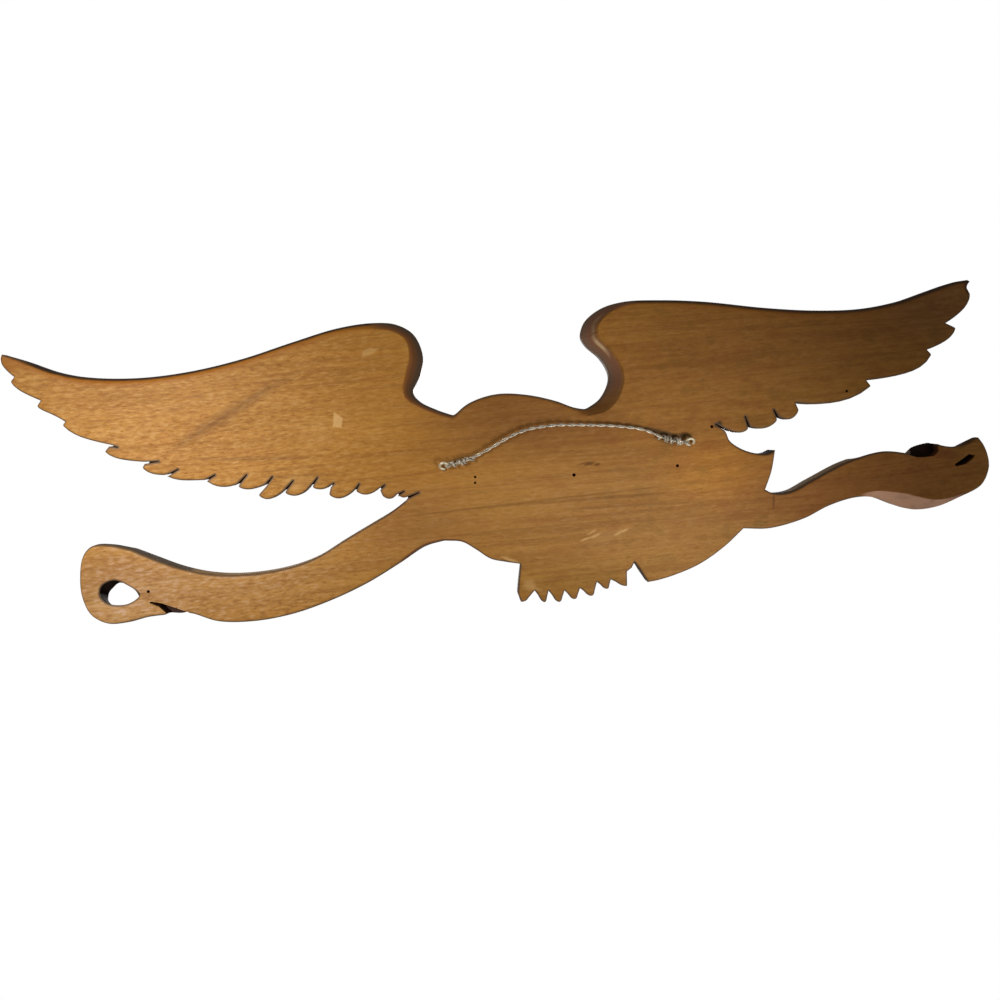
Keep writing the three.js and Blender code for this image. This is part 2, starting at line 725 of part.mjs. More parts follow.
// A rounded form along a middle line of [x, y, half width, height]: each section is half an ellipse that stands
// on the board.
function mound(line, steps, sides = MOUND_SIDES) {
  const path = flat(line);
  const sizes = flat(line.map(([, , half, top]) => [half, top]));
  const sections = [];
  for (let s = 0; s <= steps; s += 1) {
    const centre = path.getPoint(s / steps);
    const ahead = path.getTangent(s / steps);
    const size = sizes.getPoint(s / steps);
    const section = [];
    for (let i = 0; i <= sides; i += 1) {
      const angle = (Math.PI * i) / sides;
      const across = size.x * Math.cos(angle);
      const height = UNDER + (size.y - UNDER) * Math.sin(angle);
      section.push(new THREE.Vector3(centre.x - ahead.y * across, centre.y + ahead.x * across, height));
    }
    sections.push(section);
  }
  return loft(sections);
}

// The height of the rounded body at a place on the board.
function bodyHeight(x, y) {
  let best = GROUND;
  for (let i = 0; i + 1 < BODY.length; i += 1) {
    const [ax, ay, aw, ah] = BODY[i];
    const [bx, by, bw, bh] = BODY[i + 1];
    const run = [bx - ax, by - ay];
    const share = ((x - ax) * run[0] + (y - ay) * run[1]) / (run[0] ** 2 + run[1] ** 2);
    const along = THREE.MathUtils.clamp(share, 0, 1);
    const off = Math.hypot(x - ax - along * run[0], y - ay - along * run[1]);
    const half = aw + (bw - aw) * along;
    const top = ah + (bh - ah) * along;
    if (off < half) best = Math.max(best, UNDER + (top - UNDER) * Math.sqrt(1 - (off / half) ** 2));
  }
  return best;
}

// A carved feather from its root to its tip. Its lower side stands higher than its upper side, so that a row of
// feathers lies like shingles. height(x, y) gives the surface that it lies on.
function feather(root, tip, half, { height, lift, tilt, hand = 1, crown = 0 }) {
  const ahead = new THREE.Vector2(tip[0] - root[0], tip[1] - root[1]).normalize();
  const low = new THREE.Vector2(ahead.y, -ahead.x).multiplyScalar(hand);
  const sections = FEATHER_SECTIONS.map(([share, width, rise]) => {
    const x = root[0] + (tip[0] - root[0]) * share;
    const y = root[1] + (tip[1] - root[1]) * share;
    const w = half * width;
    const top = height(x, y) + lift * rise;
    const at = (across, z) => new THREE.Vector3(x + low.x * across, y + low.y * across, z);
    const quill = crown > 0 ? [at(RIDGE * w, top + crown)] : [];
    return [at(-w, UNDER), at(w, UNDER), at(w, top + tilt * rise), ...quill, at(-w, top - tilt * rise)];
  });
  return loft(sections);
}

const level = (height) => () => height;
const onWing = (hand) => ([x, y]) => [hand > 0 ? x : 2 * EAGLE_AXIS - x, y];

// A row of feathers between two lines, count of them, half a pitch apart.
function featherRow(roots, tips, count, hand, half, form) {
  const rootLine = flat(roots);
  const tipLine = flat(tips);
  return Array.from({ length: count }, (_, i) => {
    const share = (i + 0.5) / count;
    const [root, tip] = [rootLine, tipLine].map((line) => onWing(hand)(line.getPoint(share).toArray()));
    return feather(root, tip, half * (1 - ROW_TAPER * share), { ...form, hand });
  });
}

// One wing: quills that end at the lobes of the hind edge, two shorter rows over their roots and the arm.
function wing(lobes, extraTips, hand) {
  const roots = flat(QUILL_ROOTS);
  const tips = lobes.map((lobe) => lobe.slice(6)).concat(extraTips);
  const quills = tips.map(([x, y]) => {
    const share = THREE.MathUtils.clamp((Math.abs(x - EAGLE_AXIS) - WING_FIRST) / WING_REACH, 0, 1);
    const root = onWing(hand)(roots.getPoint(share).toArray());
    const reach = 1 + TIP_OVERRUN / Math.hypot(x - root[0], y - root[1]);
    const height = level(QUILL_TOP - QUILL_FALL * share);
    return feather(root, mix(root, [x, y], reach), QUILL_HALF, { height, lift: -1, tilt: 1.6, hand, crown: 1 });
  });
  const covertForm = { height: level(COVERT_TOP), lift: -1, tilt: 1.5 };
  const scaleForm = { height: level(SCALE_TOP), lift: -1, tilt: 1.4 };
  return [
    ...quills,
    ...featherRow(COVERT_ROOTS, COVERT_TIPS, COVERTS, hand, COVERT_HALF, covertForm),
    ...featherRow(SCALE_ROOTS, SCALE_TIPS, SCALES, hand, SCALE_HALF, scaleForm),
    mound(ARM.map(([x, y, half, top]) => [...onWing(hand)([x, y]), half, top]), 8, 5),
  ];
}

// Breast feathers in offset rows down the body, and the seven feathers of the tail.
function plumage() {
  const body = flat(BODY);
  const feathers = [];
  for (let row = 0; row < BREAST_ROWS; row += 1) {
    const share = BREAST_FROM + ((BREAST_TO - BREAST_FROM) * row) / (BREAST_ROWS - 1);
    const centre = body.getPoint(share);
    const ahead = body.getTangent(share);
    const across = row % 2 ? [-1, 0, 1] : [-1.5, -0.5, 0.5, 1.5];
    for (const place of across) {
      const root = [centre.x - ahead.y * place * BREAST_PITCH, centre.y + ahead.x * place * BREAST_PITCH];
      const tip = [root[0] + ahead.x * BREAST_LENGTH, root[1] + ahead.y * BREAST_LENGTH];
      feathers.push(feather(root, tip, BREAST_HALF, { height: bodyHeight, lift: 1.6, tilt: 0.3 }));
    }
  }
  for (const [tipX, tipY] of TAIL_TEETH) {
    const root = [TAIL_ROOT[0] + (tipX - TAIL_ROOT[0]) * TAIL_GATHER, TAIL_ROOT[1]];
    const tip = mix(root, [tipX, tipY], TAIL_OVERRUN);
    feathers.push(feather(root, tip, TAIL_HALF, { height: level(TAIL_TOP), lift: -1, tilt: 1, crown: 1.2 }));
  }
  return feathers;
}

// The shield's place on the board: height above its point and distance from its middle line.
function onShield([up, across]) {
  const [x, y] = SHIELD_POINT;
  const sin = Math.sin(SHIELD_LEAN);
  const cos = Math.cos(SHIELD_LEAN);
  return [x - sin * up + cos * across, y + cos * up + sin * across];
}

// A bar across or along the shield, between two sides and two heights.
function bar(left, right, low, high) {
  return slab([[low, left], [low, right], [high, right], [high, left]].map(onShield), UNDER, BAR_TOP);
}

// The shield: a raised rim, a plain upper field and upright stripes.
function shield() {
  const outline = (inset) => {
    const half = SHIELD_HALF.map(([up, across]) => {
      const squeezed = up * (1 - ((POINT_RISE + TOP_DROP) * inset) / SHIELD_HIGH);
      return [inset * POINT_RISE + squeezed, across > inset ? across - inset : 0];
    });
    const other = half.slice(1).reverse().map(([up, across]) => [up, -across]);
    return [...half, ...other].map(onShield);
  };
  const sunk = slab(outline(SHIELD_RIM), SHIELD_SUNK, BOARD + OVERLAP);
  const field = slab(outline(SHIELD_RIM - OVERLAP), UNDER, SHIELD_PLATE);
  const bars = [bar(-CHIEF_HALF, CHIEF_HALF, CHIEF_FROM, CHIEF_TO)];
  for (let i = 0; i < STRIPES; i += 1) {
    const middle = (i - (STRIPES - 1) / 2) * STRIPE_PITCH;
    bars.push(bar(middle - STRIPE_WIDTH / 2, middle + STRIPE_WIDTH / 2, STRIPES_FROM, STRIPES_TO));
  }
  return slab(outline(0), UNDER, SHIELD_PLATE).subtract(sunk).add(joined(bars).intersect(field));
}

// A length of ribbon whose middle lies lower than its edges.
function band(line, steps) {
  const path = through(asPoints(line));
  const sections = [];
  for (let s = 0; s <= steps; s += 1) {
    const middle = path.getPoint(s / steps);
    const ahead = path.getTangent(s / steps).setZ(0).normalize();
    const at = (across, z) => new THREE.Vector3(middle.x - ahead.y * across, middle.y + ahead.x * across, z);
    const rise = (share) => RIBBON_HOLLOW * (share * share - RIBBON_MEAN);
    const top = [-1, -0.5, 0, 0.5, 1].map((share) => at(share * RIBBON_REACH, middle.z + rise(share)));
    sections.push([at(-RIBBON_REACH, UNDER), ...top, at(RIBBON_REACH, UNDER)]);
  }
  return loft(sections);
}

// A hole or pit from the back, round and blind.
function pit(x, y, radius, depth, sides = 8) {
  const drill = new THREE.CylinderGeometry(radius, radius, depth + OVERLAP, sides);
  drill.rotateX(Math.PI / 2).translate(x, y, (depth - OVERLAP) / 2);
  return solidOf(drill);
}

// The slanting hole through the ribbon's curl; it starts a little before the back and ends past the front.
function curlHole() {
  const back = smooth(CURL_HOLE_BACK, 14, true).slice(1);
  const front = smooth(CURL_HOLE_FRONT, 14, true).slice(1);
  const at = (share) => back.map((p, i) => p.clone().lerp(front[i], share).setZ(share * BOARD));
  return loft([at(-0.05), at(1.1)]);
}

function carvedEagle() {
  const forms = joined([
    slab(BENCH, -OVERLAP, GROUND),
    ...wing(LOBES_RIGHT, [], 1),
    ...wing(LOBES_LEFT, EXTRA_TIPS_LEFT, -1),
    mound(SHOULDER_RIGHT, 3),
    mound(SHOULDER_LEFT, 3),
    mound(BODY, 5, 8),
    ...plumage(),
    band(RIBBON_RIGHT, 8),
    band(RIBBON_LEFT, 6),
    band(RIBBON_END, 4),
    mound(CURL_ROLL, 12),
    shield(),
    mound(NECK_AND_HEAD, 7, 8),
    mound(BEAK, 6),
    mound(BROW, 3, 4),
    mound(THIGH_RIGHT, 5),
    mound(THIGH_LEFT, 5),
    ...TOES.map((toe) => mound(toe, 3, 4)),
  ]);
  const [eyeX, eyeY, eyeRadius, eyeTop] = EYE;
  const eyeball = new THREE.SphereGeometry(eyeRadius, 8, 4).scale(1, 1, 0.5);
  eyeball.translate(eyeX, eyeY, eyeTop - EYE_SUNK);
  const pilotRadius = SHANK_GAUGE / 2 + GAP;
  const hollows = joined([
    curlHole(),
    ...POCKETS.map((outline) => slab(outline, -OVERLAP, POCKET_DEPTH)),
    ...PITS.map(([x, y, radius]) => pit(x, y, radius, PIT_DEPTH)),
    ...Object.values(EYES).map(([x, y]) => pit(x, y - PILOT_DROP, pilotRadius, SHANK_DEPTH + GAP, 10)),
  ]);
  return forms.add(solidOf(eyeball)).intersect(blank()).subtract(hollows);
}

// A round rod along a smooth path, closed at both ends.
function rod(points, radius, sides, steps) {
  const circle = new THREE.Shape(Array.from({ length: sides }, (_, i) => {
    const angle = (2 * Math.PI * i) / sides;
    return new THREE.Vector2(radius * Math.cos(angle), radius * Math.sin(angle));
  }));
  const extrudePath = through(points);
  return solidOf(new THREE.ExtrudeGeometry(circle, { steps, bevelEnabled: false, extrudePath }));
}

// A screw eye: its shank goes straight into the board, and its neck bends up to the leaning ring.
function screwEye(x, y) {
  const up = new THREE.Vector3(0, Math.sin(EYE_LEAN), -Math.cos(EYE_LEAN));
  const centre = new THREE.Vector3(x, y, -EYE_HEIGHT);
  const ring = new THREE.TorusGeometry(EYE_RING, EYE_GAUGE / 2, 6, 10);
  ring.rotateX(EYE_LEAN - Math.PI / 2);
  ring.translate(centre.x, centre.y, centre.z);
  const foot = centre.clone().addScaledVector(up, -EYE_RING);
  const entry = new THREE.Vector3(x, y - PILOT_DROP, NECK_END);
  const bend = foot.clone().lerp(entry, NECK_BEND).add(new THREE.Vector3(0, -NECK_SAG, 0));
  const neck = rod([foot, bend, entry], EYE_GAUGE / 2, 6, 3);
  const radius = SHANK_GAUGE / 2;
  const shank = new THREE.CylinderGeometry(radius, radius - SHANK_TAPER, SHANK_DEPTH - SHANK_TOP, 8);
  shank.rotateX(-Math.PI / 2).translate(x, y - PILOT_DROP, (SHANK_DEPTH + SHANK_TOP) / 2);
  return joined([solidOf(ring), neck, solidOf(shank)]);
}

// The hanging wire: the bare span, the stretch beside each eye that is wound over with the wire's own end, and
// a loop through each ring.
function hangingWire() {
  const path = through(WIRE_ROUTE.map(([x, y, off]) => new THREE.Vector3(x, y, -off)));
  const length = path.getLength();
  const wrap = WRAP_LENGTH / length;
  const spanSteps = Math.round((length - 2 * WRAP_LENGTH) / SPAN_STEP);
  const bare = SPAN_CLEAR * wrap;
  const stations = [];
  for (let i = 0; i <= spanSteps; i += 1) stations.push([bare + ((1 - 2 * bare) * i) / spanSteps, WIRE / 2]);
  for (let i = WRAP_STEPS - 1; i >= 0; i -= 1) {
    const share = (wrap * i) / (WRAP_STEPS - 1);
    stations.unshift([share, WRAP_RADIUS[i % 2]]);
    stations.push([1 - share, WRAP_RADIUS[i % 2]]);
  }
  const away = new THREE.Vector3(0, 0, 1);
  const sections = stations.map(([share, radius]) => {
    const middle = path.getPointAt(share);
    const side = path.getTangentAt(share).cross(away).normalize();
    return Array.from({ length: WIRE_SIDES }, (_, i) => {
      const angle = (2 * Math.PI * i) / WIRE_SIDES;
      const point = middle.clone().addScaledVector(side, radius * Math.cos(angle));
      return point.addScaledVector(away, radius * Math.sin(angle));
    });
  });
  const loops = Object.values(EYES).map(([x, y]) => {
    const towardSpan = -Math.sign(x);
    const loop = new THREE.TorusGeometry(LOOP_RADIUS, WIRE_LOOP / 2, 6, 10);
    loop.rotateX(Math.PI / 2).rotateX(EYE_LEAN - Math.PI / 2);
    return solidOf(loop.translate(x + towardSpan * EYE_RING, y, -EYE_HEIGHT));
  });
  return joined([loft(sections), ...loops]);
}

const finish = (name, color, roughness, metalness) =>
  new THREE.MeshStandardMaterial({ name, color, roughness, metalness });
const MAHOGANY = finish("mahogany", 0x9b6c38, 0.55, 0);
const BRASS = finish("brass", 0xc9b06a, 0.35, 1);
const PICTURE_WIRE = finish("picture_wire", 0xb9aca0, 0.4, 1);

function piece(name, body, material) {
  const mesh = new THREE.Mesh(geometryOf(body), material.clone()); // each piece has a finish of its own
  mesh.name = name;
  return mesh;
}

const plaque = new THREE.Group();
plaque.add(piece("carved_eagle", carvedEagle(), MAHOGANY));
for (const [name, [x, y]] of Object.entries(EYES)) plaque.add(piece(name, screwEye(x, y), BRASS));
plaque.add(piece("hanging_wire", hangingWire(), PICTURE_WIRE));

// Stand the bench drawing up: its height above the back becomes the way to the front, -Y.
plaque.rotation.x = Math.PI / 2;
plaque.position.y = -STANDOFF;

export default plaque;
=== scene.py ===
# %% [markdown]
# # The back of a carved eagle
#
# This lesson dresses a wall plaque: a spread eagle that a carver cut from one mahogany board. We look at its
# back, which is flat and only sanded, with a picture wire between two small screw eyes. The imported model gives
# every size and place, so nothing here is fitted by eye: it is loaded first and never moved.

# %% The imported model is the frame
import math

import bpy
import numpy as np
from mathutils import Matrix, Vector, kdtree
from mathutils.geometry import delaunay_2d_cdt


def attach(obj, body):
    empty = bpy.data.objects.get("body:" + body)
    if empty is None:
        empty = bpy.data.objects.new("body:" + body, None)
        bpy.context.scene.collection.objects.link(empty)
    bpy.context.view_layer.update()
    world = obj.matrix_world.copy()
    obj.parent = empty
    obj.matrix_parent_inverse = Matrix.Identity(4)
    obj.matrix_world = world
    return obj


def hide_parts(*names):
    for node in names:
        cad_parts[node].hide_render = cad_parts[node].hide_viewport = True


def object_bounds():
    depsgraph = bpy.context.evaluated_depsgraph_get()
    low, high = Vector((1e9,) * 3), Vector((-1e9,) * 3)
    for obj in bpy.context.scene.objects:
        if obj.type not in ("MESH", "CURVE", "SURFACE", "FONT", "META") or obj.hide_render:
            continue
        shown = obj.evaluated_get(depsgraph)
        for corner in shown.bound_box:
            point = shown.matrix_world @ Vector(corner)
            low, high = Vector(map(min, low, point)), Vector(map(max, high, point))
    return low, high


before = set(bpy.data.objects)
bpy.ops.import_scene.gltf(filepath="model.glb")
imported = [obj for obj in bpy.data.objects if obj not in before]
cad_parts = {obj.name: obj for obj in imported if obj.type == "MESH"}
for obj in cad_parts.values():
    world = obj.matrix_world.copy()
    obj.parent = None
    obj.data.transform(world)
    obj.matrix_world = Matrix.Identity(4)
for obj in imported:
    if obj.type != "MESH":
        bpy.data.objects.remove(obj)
cad_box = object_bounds()
print("pieces in the model:", sorted(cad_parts))

# %% [markdown]
# ## The camera
#
# The photograph was taken from about 640 mm behind the board, a little low and to one side, with the camera
# rolled by a few degrees. It could be placed by trial and error. It is worked out instead: the board's back is a
# plane, so the picture point where the line of sight meets that plane squarely, the roll and the focal length
# say everything about the view.

# %% Camera
MM = 0.001
PICTURE = 1000  # pixels across the square picture
FOCAL = 950  # focal length in pixels
SENSOR = 36
SQUARE_ON = (468, 430)  # the pixel whose line of sight meets the back squarely
ROLL = math.radians(5.5)
DISTANCE = 644.9  # from the camera to the board's back
SQUARE_ON_BOARD = (48.8, 2.65)  # x and z of that pixel on the board, in millimetres
STANDOFF = 4  # the back lies this far in front of the wire's crown, which is the origin


def aim_camera():
    """The camera's matrix from the view's own axes: right, down and into the picture."""
    centre = PICTURE / 2
    into = Vector(((SQUARE_ON[0] - centre) / FOCAL, (SQUARE_ON[1] - centre) / FOCAL, 1)).normalized()
    right = Vector((math.cos(ROLL), -math.sin(ROLL), 0))
    right = (right - into * right.dot(into)).normalized()
    down = into.cross(right)
    turn = Matrix((-right, -into, -down))  # rows: the object's X, Y and Z seen from the camera
    flip = Matrix(((1, 0, 0), (0, -1, 0), (0, 0, -1)))
    x, z = SQUARE_ON_BOARD
    matrix = (turn @ flip).to_4x4()
    matrix.translation = Vector((x, DISTANCE - STANDOFF, z)) * MM
    return matrix


lens = bpy.data.cameras.new("photo_view")
lens.sensor_width = SENSOR
lens.lens = SENSOR * FOCAL / PICTURE
lens.clip_start = 0.01
camera = bpy.data.objects.new("photo_view", lens)
bpy.context.collection.objects.link(camera)
camera.matrix_world = aim_camera()
bpy.context.scene.camera = camera
print("camera at", [round(v, 3) for v in camera.location], "lens", round(lens.lens, 1), "mm")

# %% [markdown]
# ## A tube for wires
#
# Picture wire, screw eyes and the turns wound round the wire are all round bars along a bent path. A curve with
# a bevel would be the quick way, but it can't twist its section. So a small function carries a ring of points
# along the path, and the ring may have lobes that turn as it goes, like strands.


# %% Smooth paths and tubes
def curve(points, closed=False, per_span=16):
    """A smooth line through points of any number of coordinates, spaced by the roots of their distances."""
    given = np.array(points, float)
    count = len(given)
    if closed:
        row = np.vstack([given[-1], given, given[0], given[1]])
        spans = count
    else:
        row = np.vstack([2 * given[0] - given[1], given, 2 * given[-1] - given[-2]])
        spans = count - 1
    t = np.arange(per_span)[:, None] / per_span
    pieces = []
    for i in range(spans):
        a, b, c, d = row[i : i + 4]
        ab, bc, cd = (max(np.sqrt(np.linalg.norm(q - p)), 1e-4) for p, q in ((a, b), (b, c), (c, d)))
        start = ((b - a) / ab - (c - a) / (ab + bc) + (c - b) / bc) * bc
        end = ((c - b) / bc - (d - b) / (bc + cd) + (d - c) / cd) * bc
        pieces.append(b + start * t + (3 * (c - b) - 2 * start - end) * t**2 + (2 * (b - c) + start + end) * t**3)
    if not closed:
        pieces.append(row[-2][None])
    return np.vstack(pieces)


def evenly(points, step, closed=False):
    """The same line with its points about one step apart; its ends stay."""
    line = np.vstack([points, points[:1]]) if closed else np.asarray(points, float)
    far = np.concatenate([[0], np.cumsum(np.linalg.norm(np.diff(line[:, :2], axis=0), axis=1))])
    count = max(int(math.ceil(far[-1] / step)), 1)
    at = np.linspace(0, far[-1], count + 1)
    even = np.stack([np.interp(at, far, line[:, k]) for k in range(line.shape[1])], axis=1)
    return even[:-1] if closed else even


def unit(vectors):
    vectors = np.asarray(vectors, float)
    return vectors / np.maximum(np.linalg.norm(vectors, axis=-1, keepdims=True), 1e-12)


def carried_frames(path):
    """Two directions across a path at each of its points, carried along it without a twist."""
    ahead = unit(np.gradient(path, axis=0))
    side = np.zeros_like(path)
    start = np.cross(ahead[0], (0, 1, 0.1))
    side[0] = unit(start)
    for i in range(1, len(path)):
        side[i] = unit(side[i - 1] - ahead[i] * side[i - 1].dot(ahead[i]))
    return side, np.cross(ahead, side)


def tube(path, radius, sides=12, lobes=0, groove=0.0, turn_every=10.0, taper=0.0):
    """Points and faces of a closed round bar along a path, in millimetres. Lobes turn once in turn_every."""
    side, over = carried_frames(path)
    far = np.concatenate([[0], np.cumsum(np.linalg.norm(np.diff(path, axis=0), axis=1))])
    around = np.arange(sides) * 2 * np.pi / sides
    twist = 2 * np.pi * far[:, None] / turn_every
    ring = radius * (1 + groove * np.cos(lobes * (around[None] + twist)))
    if taper:
        from_ends = np.minimum(far, far[-1] - far)[:, None]
        ring = ring * np.sqrt(np.clip(0.15 + from_ends / taper, 0, 1))
    offset = side[:, None] * np.cos(around)[None, :, None] + over[:, None] * np.sin(around)[None, :, None]
    points = (path[:, None] + offset * ring[:, :, None]).reshape(-1, 3)
    faces = []
    for i in range(len(path) - 1):
        for k in range(sides):
            a, b = i * sides + k, i * sides + (k + 1) % sides
            faces.append((a, b, b + sides, a + sides))
    last = (len(path) - 1) * sides
    faces.append(tuple(range(sides - 1, -1, -1)))
    faces.append(tuple(range(last, last + sides)))
    return points, faces


def make_piece(name, parts, material, node=None):
    """One object from several lists of points and faces, riding on the plaque; it may stand for a node."""
    points, faces = [], []
    for more_points, more_faces in parts:
        shift = sum(len(p) for p in points)
        points.append(np.asarray(more_points, float))
        faces.extend(tuple(i + shift for i in face) for face in more_faces)
    mesh = bpy.data.meshes.new(name)
    mesh.from_pydata((np.vstack(points) * MM).tolist(), [], faces)
    mesh.materials.append(material)
    mesh.shade_smooth()
    made = bpy.data.objects.new(name, mesh)
    bpy.context.collection.objects.link(made)
    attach(made, "root")
    if node:
        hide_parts(node)
    print(name, "has", len(mesh.polygons), "faces")
    return made


# %% [markdown]
# ## The picture wire
#
# The wire is a fixed length of twisted steel: two strands laid round each other, through each ring and back, with
# the spare end wound over the wire beside it. It rises from the rings to a low crown, where the wall hook catches
# it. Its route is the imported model's own, so the wire lies exactly where the solid does. It could be one grooved
# tube; two real strands give it the broken, beaded light of the real one.

# %% The wire's route
WIRE_ROUTE = [
    # x, z and distance behind the back, from the left eye to the right one
    (62.8, -19.3, 3.3), (59, -18.9, 3.4), (54, -18.3, 3.4), (48, -16.2, 3.1), (41, -13.6, 3), (33, -10, 3.1),
    (25, -6.2, 3.3), (17, -3, 3.6), (9, -0.9, 3.9), (0, 0, 4), (-11, 0.2, 4), (-23, -0.8, 3.8), (-36, -2.2, 3.5),
    (-49, -3.9, 3.2), (-60, -6, 3), (-69, -8.3, 3), (-76, -11.6, 3), (-83, -15.6, 3.2), (-90, -18, 3.3),
    (-95.8, -19.2, 3.3),
]
EYES = {"screw_eye_left": (67.4, -19.8), "screw_eye_right": (-100.4, -19.6)}
EYE_LEAN = math.radians(48)  # the rings lean upwards, out of the back
EYE_HEIGHT = 3.0  # the ring's centre behind the back
EYE_RING = 2.8
EYE_GAUGE = 2.0
PILOT_DROP = 2.5
WIRE = 2.2  # diameter of the twisted pair
STRAND = 0.56  # radius of one strand
PITCH = 13.4  # one full turn of the two strands
RING_UP = np.array((0, math.cos(EYE_LEAN), math.sin(EYE_LEAN)))  # from a ring's foot to its top
RING_FACE = np.array((0, math.sin(EYE_LEAN), -math.cos(EYE_LEAN)))  # square to the ring


def behind(x, z, off):
    """A point that lies off behind the back, in the object's axes."""
    return np.array((x, off - STANDOFF, z), float)


route = curve([behind(*p) for p in WIRE_ROUTE], per_span=24)
ring_centre = {name: behind(x, z, EYE_HEIGHT) for name, (x, z) in EYES.items()}

# %% [markdown]
# ## Shader maths as Python
#
# A finish on wood is mostly arithmetic: streaks times a mask plus a stain. Laying out nodes by hand hides that.
# So one small class wraps a node's output socket, and an expression on such values adds the nodes. Numbers go
# through Math nodes; colours and vectors go through Vector Math, because a Math node would turn a colour grey.


# %% One class for shader values
class Value:
    """An output socket of a material's nodes. Arithmetic on it adds nodes."""

    def __init__(self, socket):
        self.socket = socket

    def node(self, kind, settings=None, inputs=None, output=0):
        """Adds a node: its settings first, then the values or links of its sockets."""
        made = self.socket.id_data.nodes.new(kind)
        for name, setting in (settings or {}).items():
            if name == "stops":
                ramp = made.color_ramp
                while len(ramp.elements) < len(setting):
                    ramp.elements.new(1)
                for element, (place, colour) in zip(ramp.elements, setting):
                    element.position, element.color = place, (*colour, 1)
            else:
                setattr(made, name, setting)
        for name, given in (inputs or {}).items():
            if isinstance(given, Value):
                self.socket.id_data.links.new(given.socket, made.inputs[name])
            else:
                made.inputs[name].default_value = given
        return Value(made.outputs[output])

    def maths(self, operation, *operands):
        """One step of arithmetic, on numbers or on vectors and colours."""
        shapes = {o.socket.type for o in operands if isinstance(o, Value)}
        vectors = bool(shapes & {"VECTOR", "RGBA"}) or any(isinstance(o, tuple) for o in operands)
        if vectors:
            operands = [(o, o, o) if isinstance(o, (int, float)) else o for o in operands]
        kind = "ShaderNodeVectorMath" if vectors else "ShaderNodeMath"
        return self.node(kind, {"operation": operation}, dict(enumerate(operands)))

    def __add__(self, other):
        return self.maths("ADD", self, other)

    def __radd__(self, other):
        return self.maths("ADD", other, self)

    def __sub__(self, other):
        return self.maths("SUBTRACT", self, other)

    def __rsub__(self, other):
        return self.maths("SUBTRACT", other, self)

    def __mul__(self, other):
        return self.maths("MULTIPLY", self, other)

    def __rmul__(self, other):
        return self.maths("MULTIPLY", other, self)

    def __pow__(self, other):
        return self.maths("POWER", self, other)

    def least(self, other):
        return self.maths("MINIMUM", self, other)

    def most(self, other):
        return self.maths("MAXIMUM", self, other)

    def between(self, low, high, start=0.0, end=1.0):
        """start below low and end above high, with a soft step between them."""
        settings = {"interpolation_type": "SMOOTHSTEP"}
        return self.node("ShaderNodeMapRange", settings, {0: self, 1: low, 2: high, 3: start, 4: end})

    def toward(self, colour, share):
        """This colour mixed towards another one."""
        settings = {"data_type": "RGBA", "clamp_factor": True}
        return self.node("ShaderNodeMix", settings, {0: share, 6: self, 7: colour}, output=2)

    def noise(self, stretch, detail=3.0, roughness=0.5, seed=0.0):
        """Soft random values; stretch is the size of its spots along X, Y and Z, in millimetres."""
        place = self * tuple(1 / s for s in stretch) + (seed, 0.7 * seed, -seed)
        inputs = {"Vector": place, "Scale": 1.0, "Detail": detail, "Roughness": roughness}
        return self.node("ShaderNodeTexNoise", None, inputs)


def colour_of(red, green, blue):
    """A colour as the picture shows it, 0 to 255, turned into the light that a shader works with."""
    return (*(((v / 255 + 0.055) / 1.055) ** 2.4 for v in (red, green, blue)), 1.0)


def finish(name, **fixed):
    """A new material: its place in millimetres, its shader and a function that links a value to it."""
    material = bpy.data.materials.new(name)
    material.use_nodes = True
    shader = material.node_tree.nodes["Principled BSDF"]
    for socket, number in fixed.items():
        shader.inputs[socket.replace("_", " ")].default_value = number
    place = Value(material.node_tree.nodes.new("ShaderNodeTexCoord").outputs["Object"]) * 1000.0

    def set_to(socket, value):
        material.node_tree.links.new(value.socket, shader.inputs[socket])

    return material, place, set_to


# %% [markdown]
# ## Metal finishes
#
# The wire is plain steel that has dulled to a warm, pinkish grey, darker in its grooves. The screw eyes are
# brass-plated and pale. Both are small, so a soft cloudiness, a little grime and fine scratches are enough.

# %% Steel and brass
def metal(name, clean, grime, rough, scratch):
    material, place, set_to = finish(name, Metallic=0.65)
    cloud = place.noise((2.2, 2.2, 2.2), detail=4, roughness=0.6)
    streak = place.noise((0.3, 2.5, 2.5), detail=2, seed=4.0)
    worn = cloud.between(0.35, 0.7)
    plain = place.node("ShaderNodeRGB")
    plain.socket.default_value = clean
    set_to("Base Color", plain.toward(grime, worn * 0.55 + streak.between(0.5, 0.75) * 0.25))
    set_to("Roughness", worn * 0.18 + rough)
    bump = {"Height": cloud + streak * scratch, "Strength": 0.25, "Distance": 0.0001}
    set_to("Normal", place.node("ShaderNodeBump", None, bump))
    return material


steel = metal("dull_steel", colour_of(226, 216, 196), colour_of(92, 80, 64), 0.42, 0.6)
brass = metal("pale_brass", colour_of(246, 236, 208), colour_of(186, 162, 122), 0.38, 0.4)
print("metal finishes:", steel.name, brass.name)

# %% [markdown]
# ## Laying the wire
#
# Each strand follows the route at a small distance and turns round it once in 13 mm. At each ring the pair goes on
# as one thinner end: it passes through the ring, comes back and winds over the wire in loose, uneven turns. The
# turns could be left out at this size, but in the picture they are the brightest and roughest spots of the back.


# %% The wire itself
def strand(phase):
    """One of the two strands along the whole route."""
    line = evenly_in_space(route, 0.55)
    side, over = carried_frames(line)
    far = np.concatenate([[0], np.cumsum(np.linalg.norm(np.diff(line, axis=0), axis=1))])
    turn = 2 * np.pi * far / PITCH + phase
    off = WIRE / 2 - STRAND
    path = line + off * (side * np.cos(turn)[:, None] + over * np.sin(turn)[:, None])
    return tube(path, STRAND, sides=14, lobes=5, groove=0.07, turn_every=5.5)


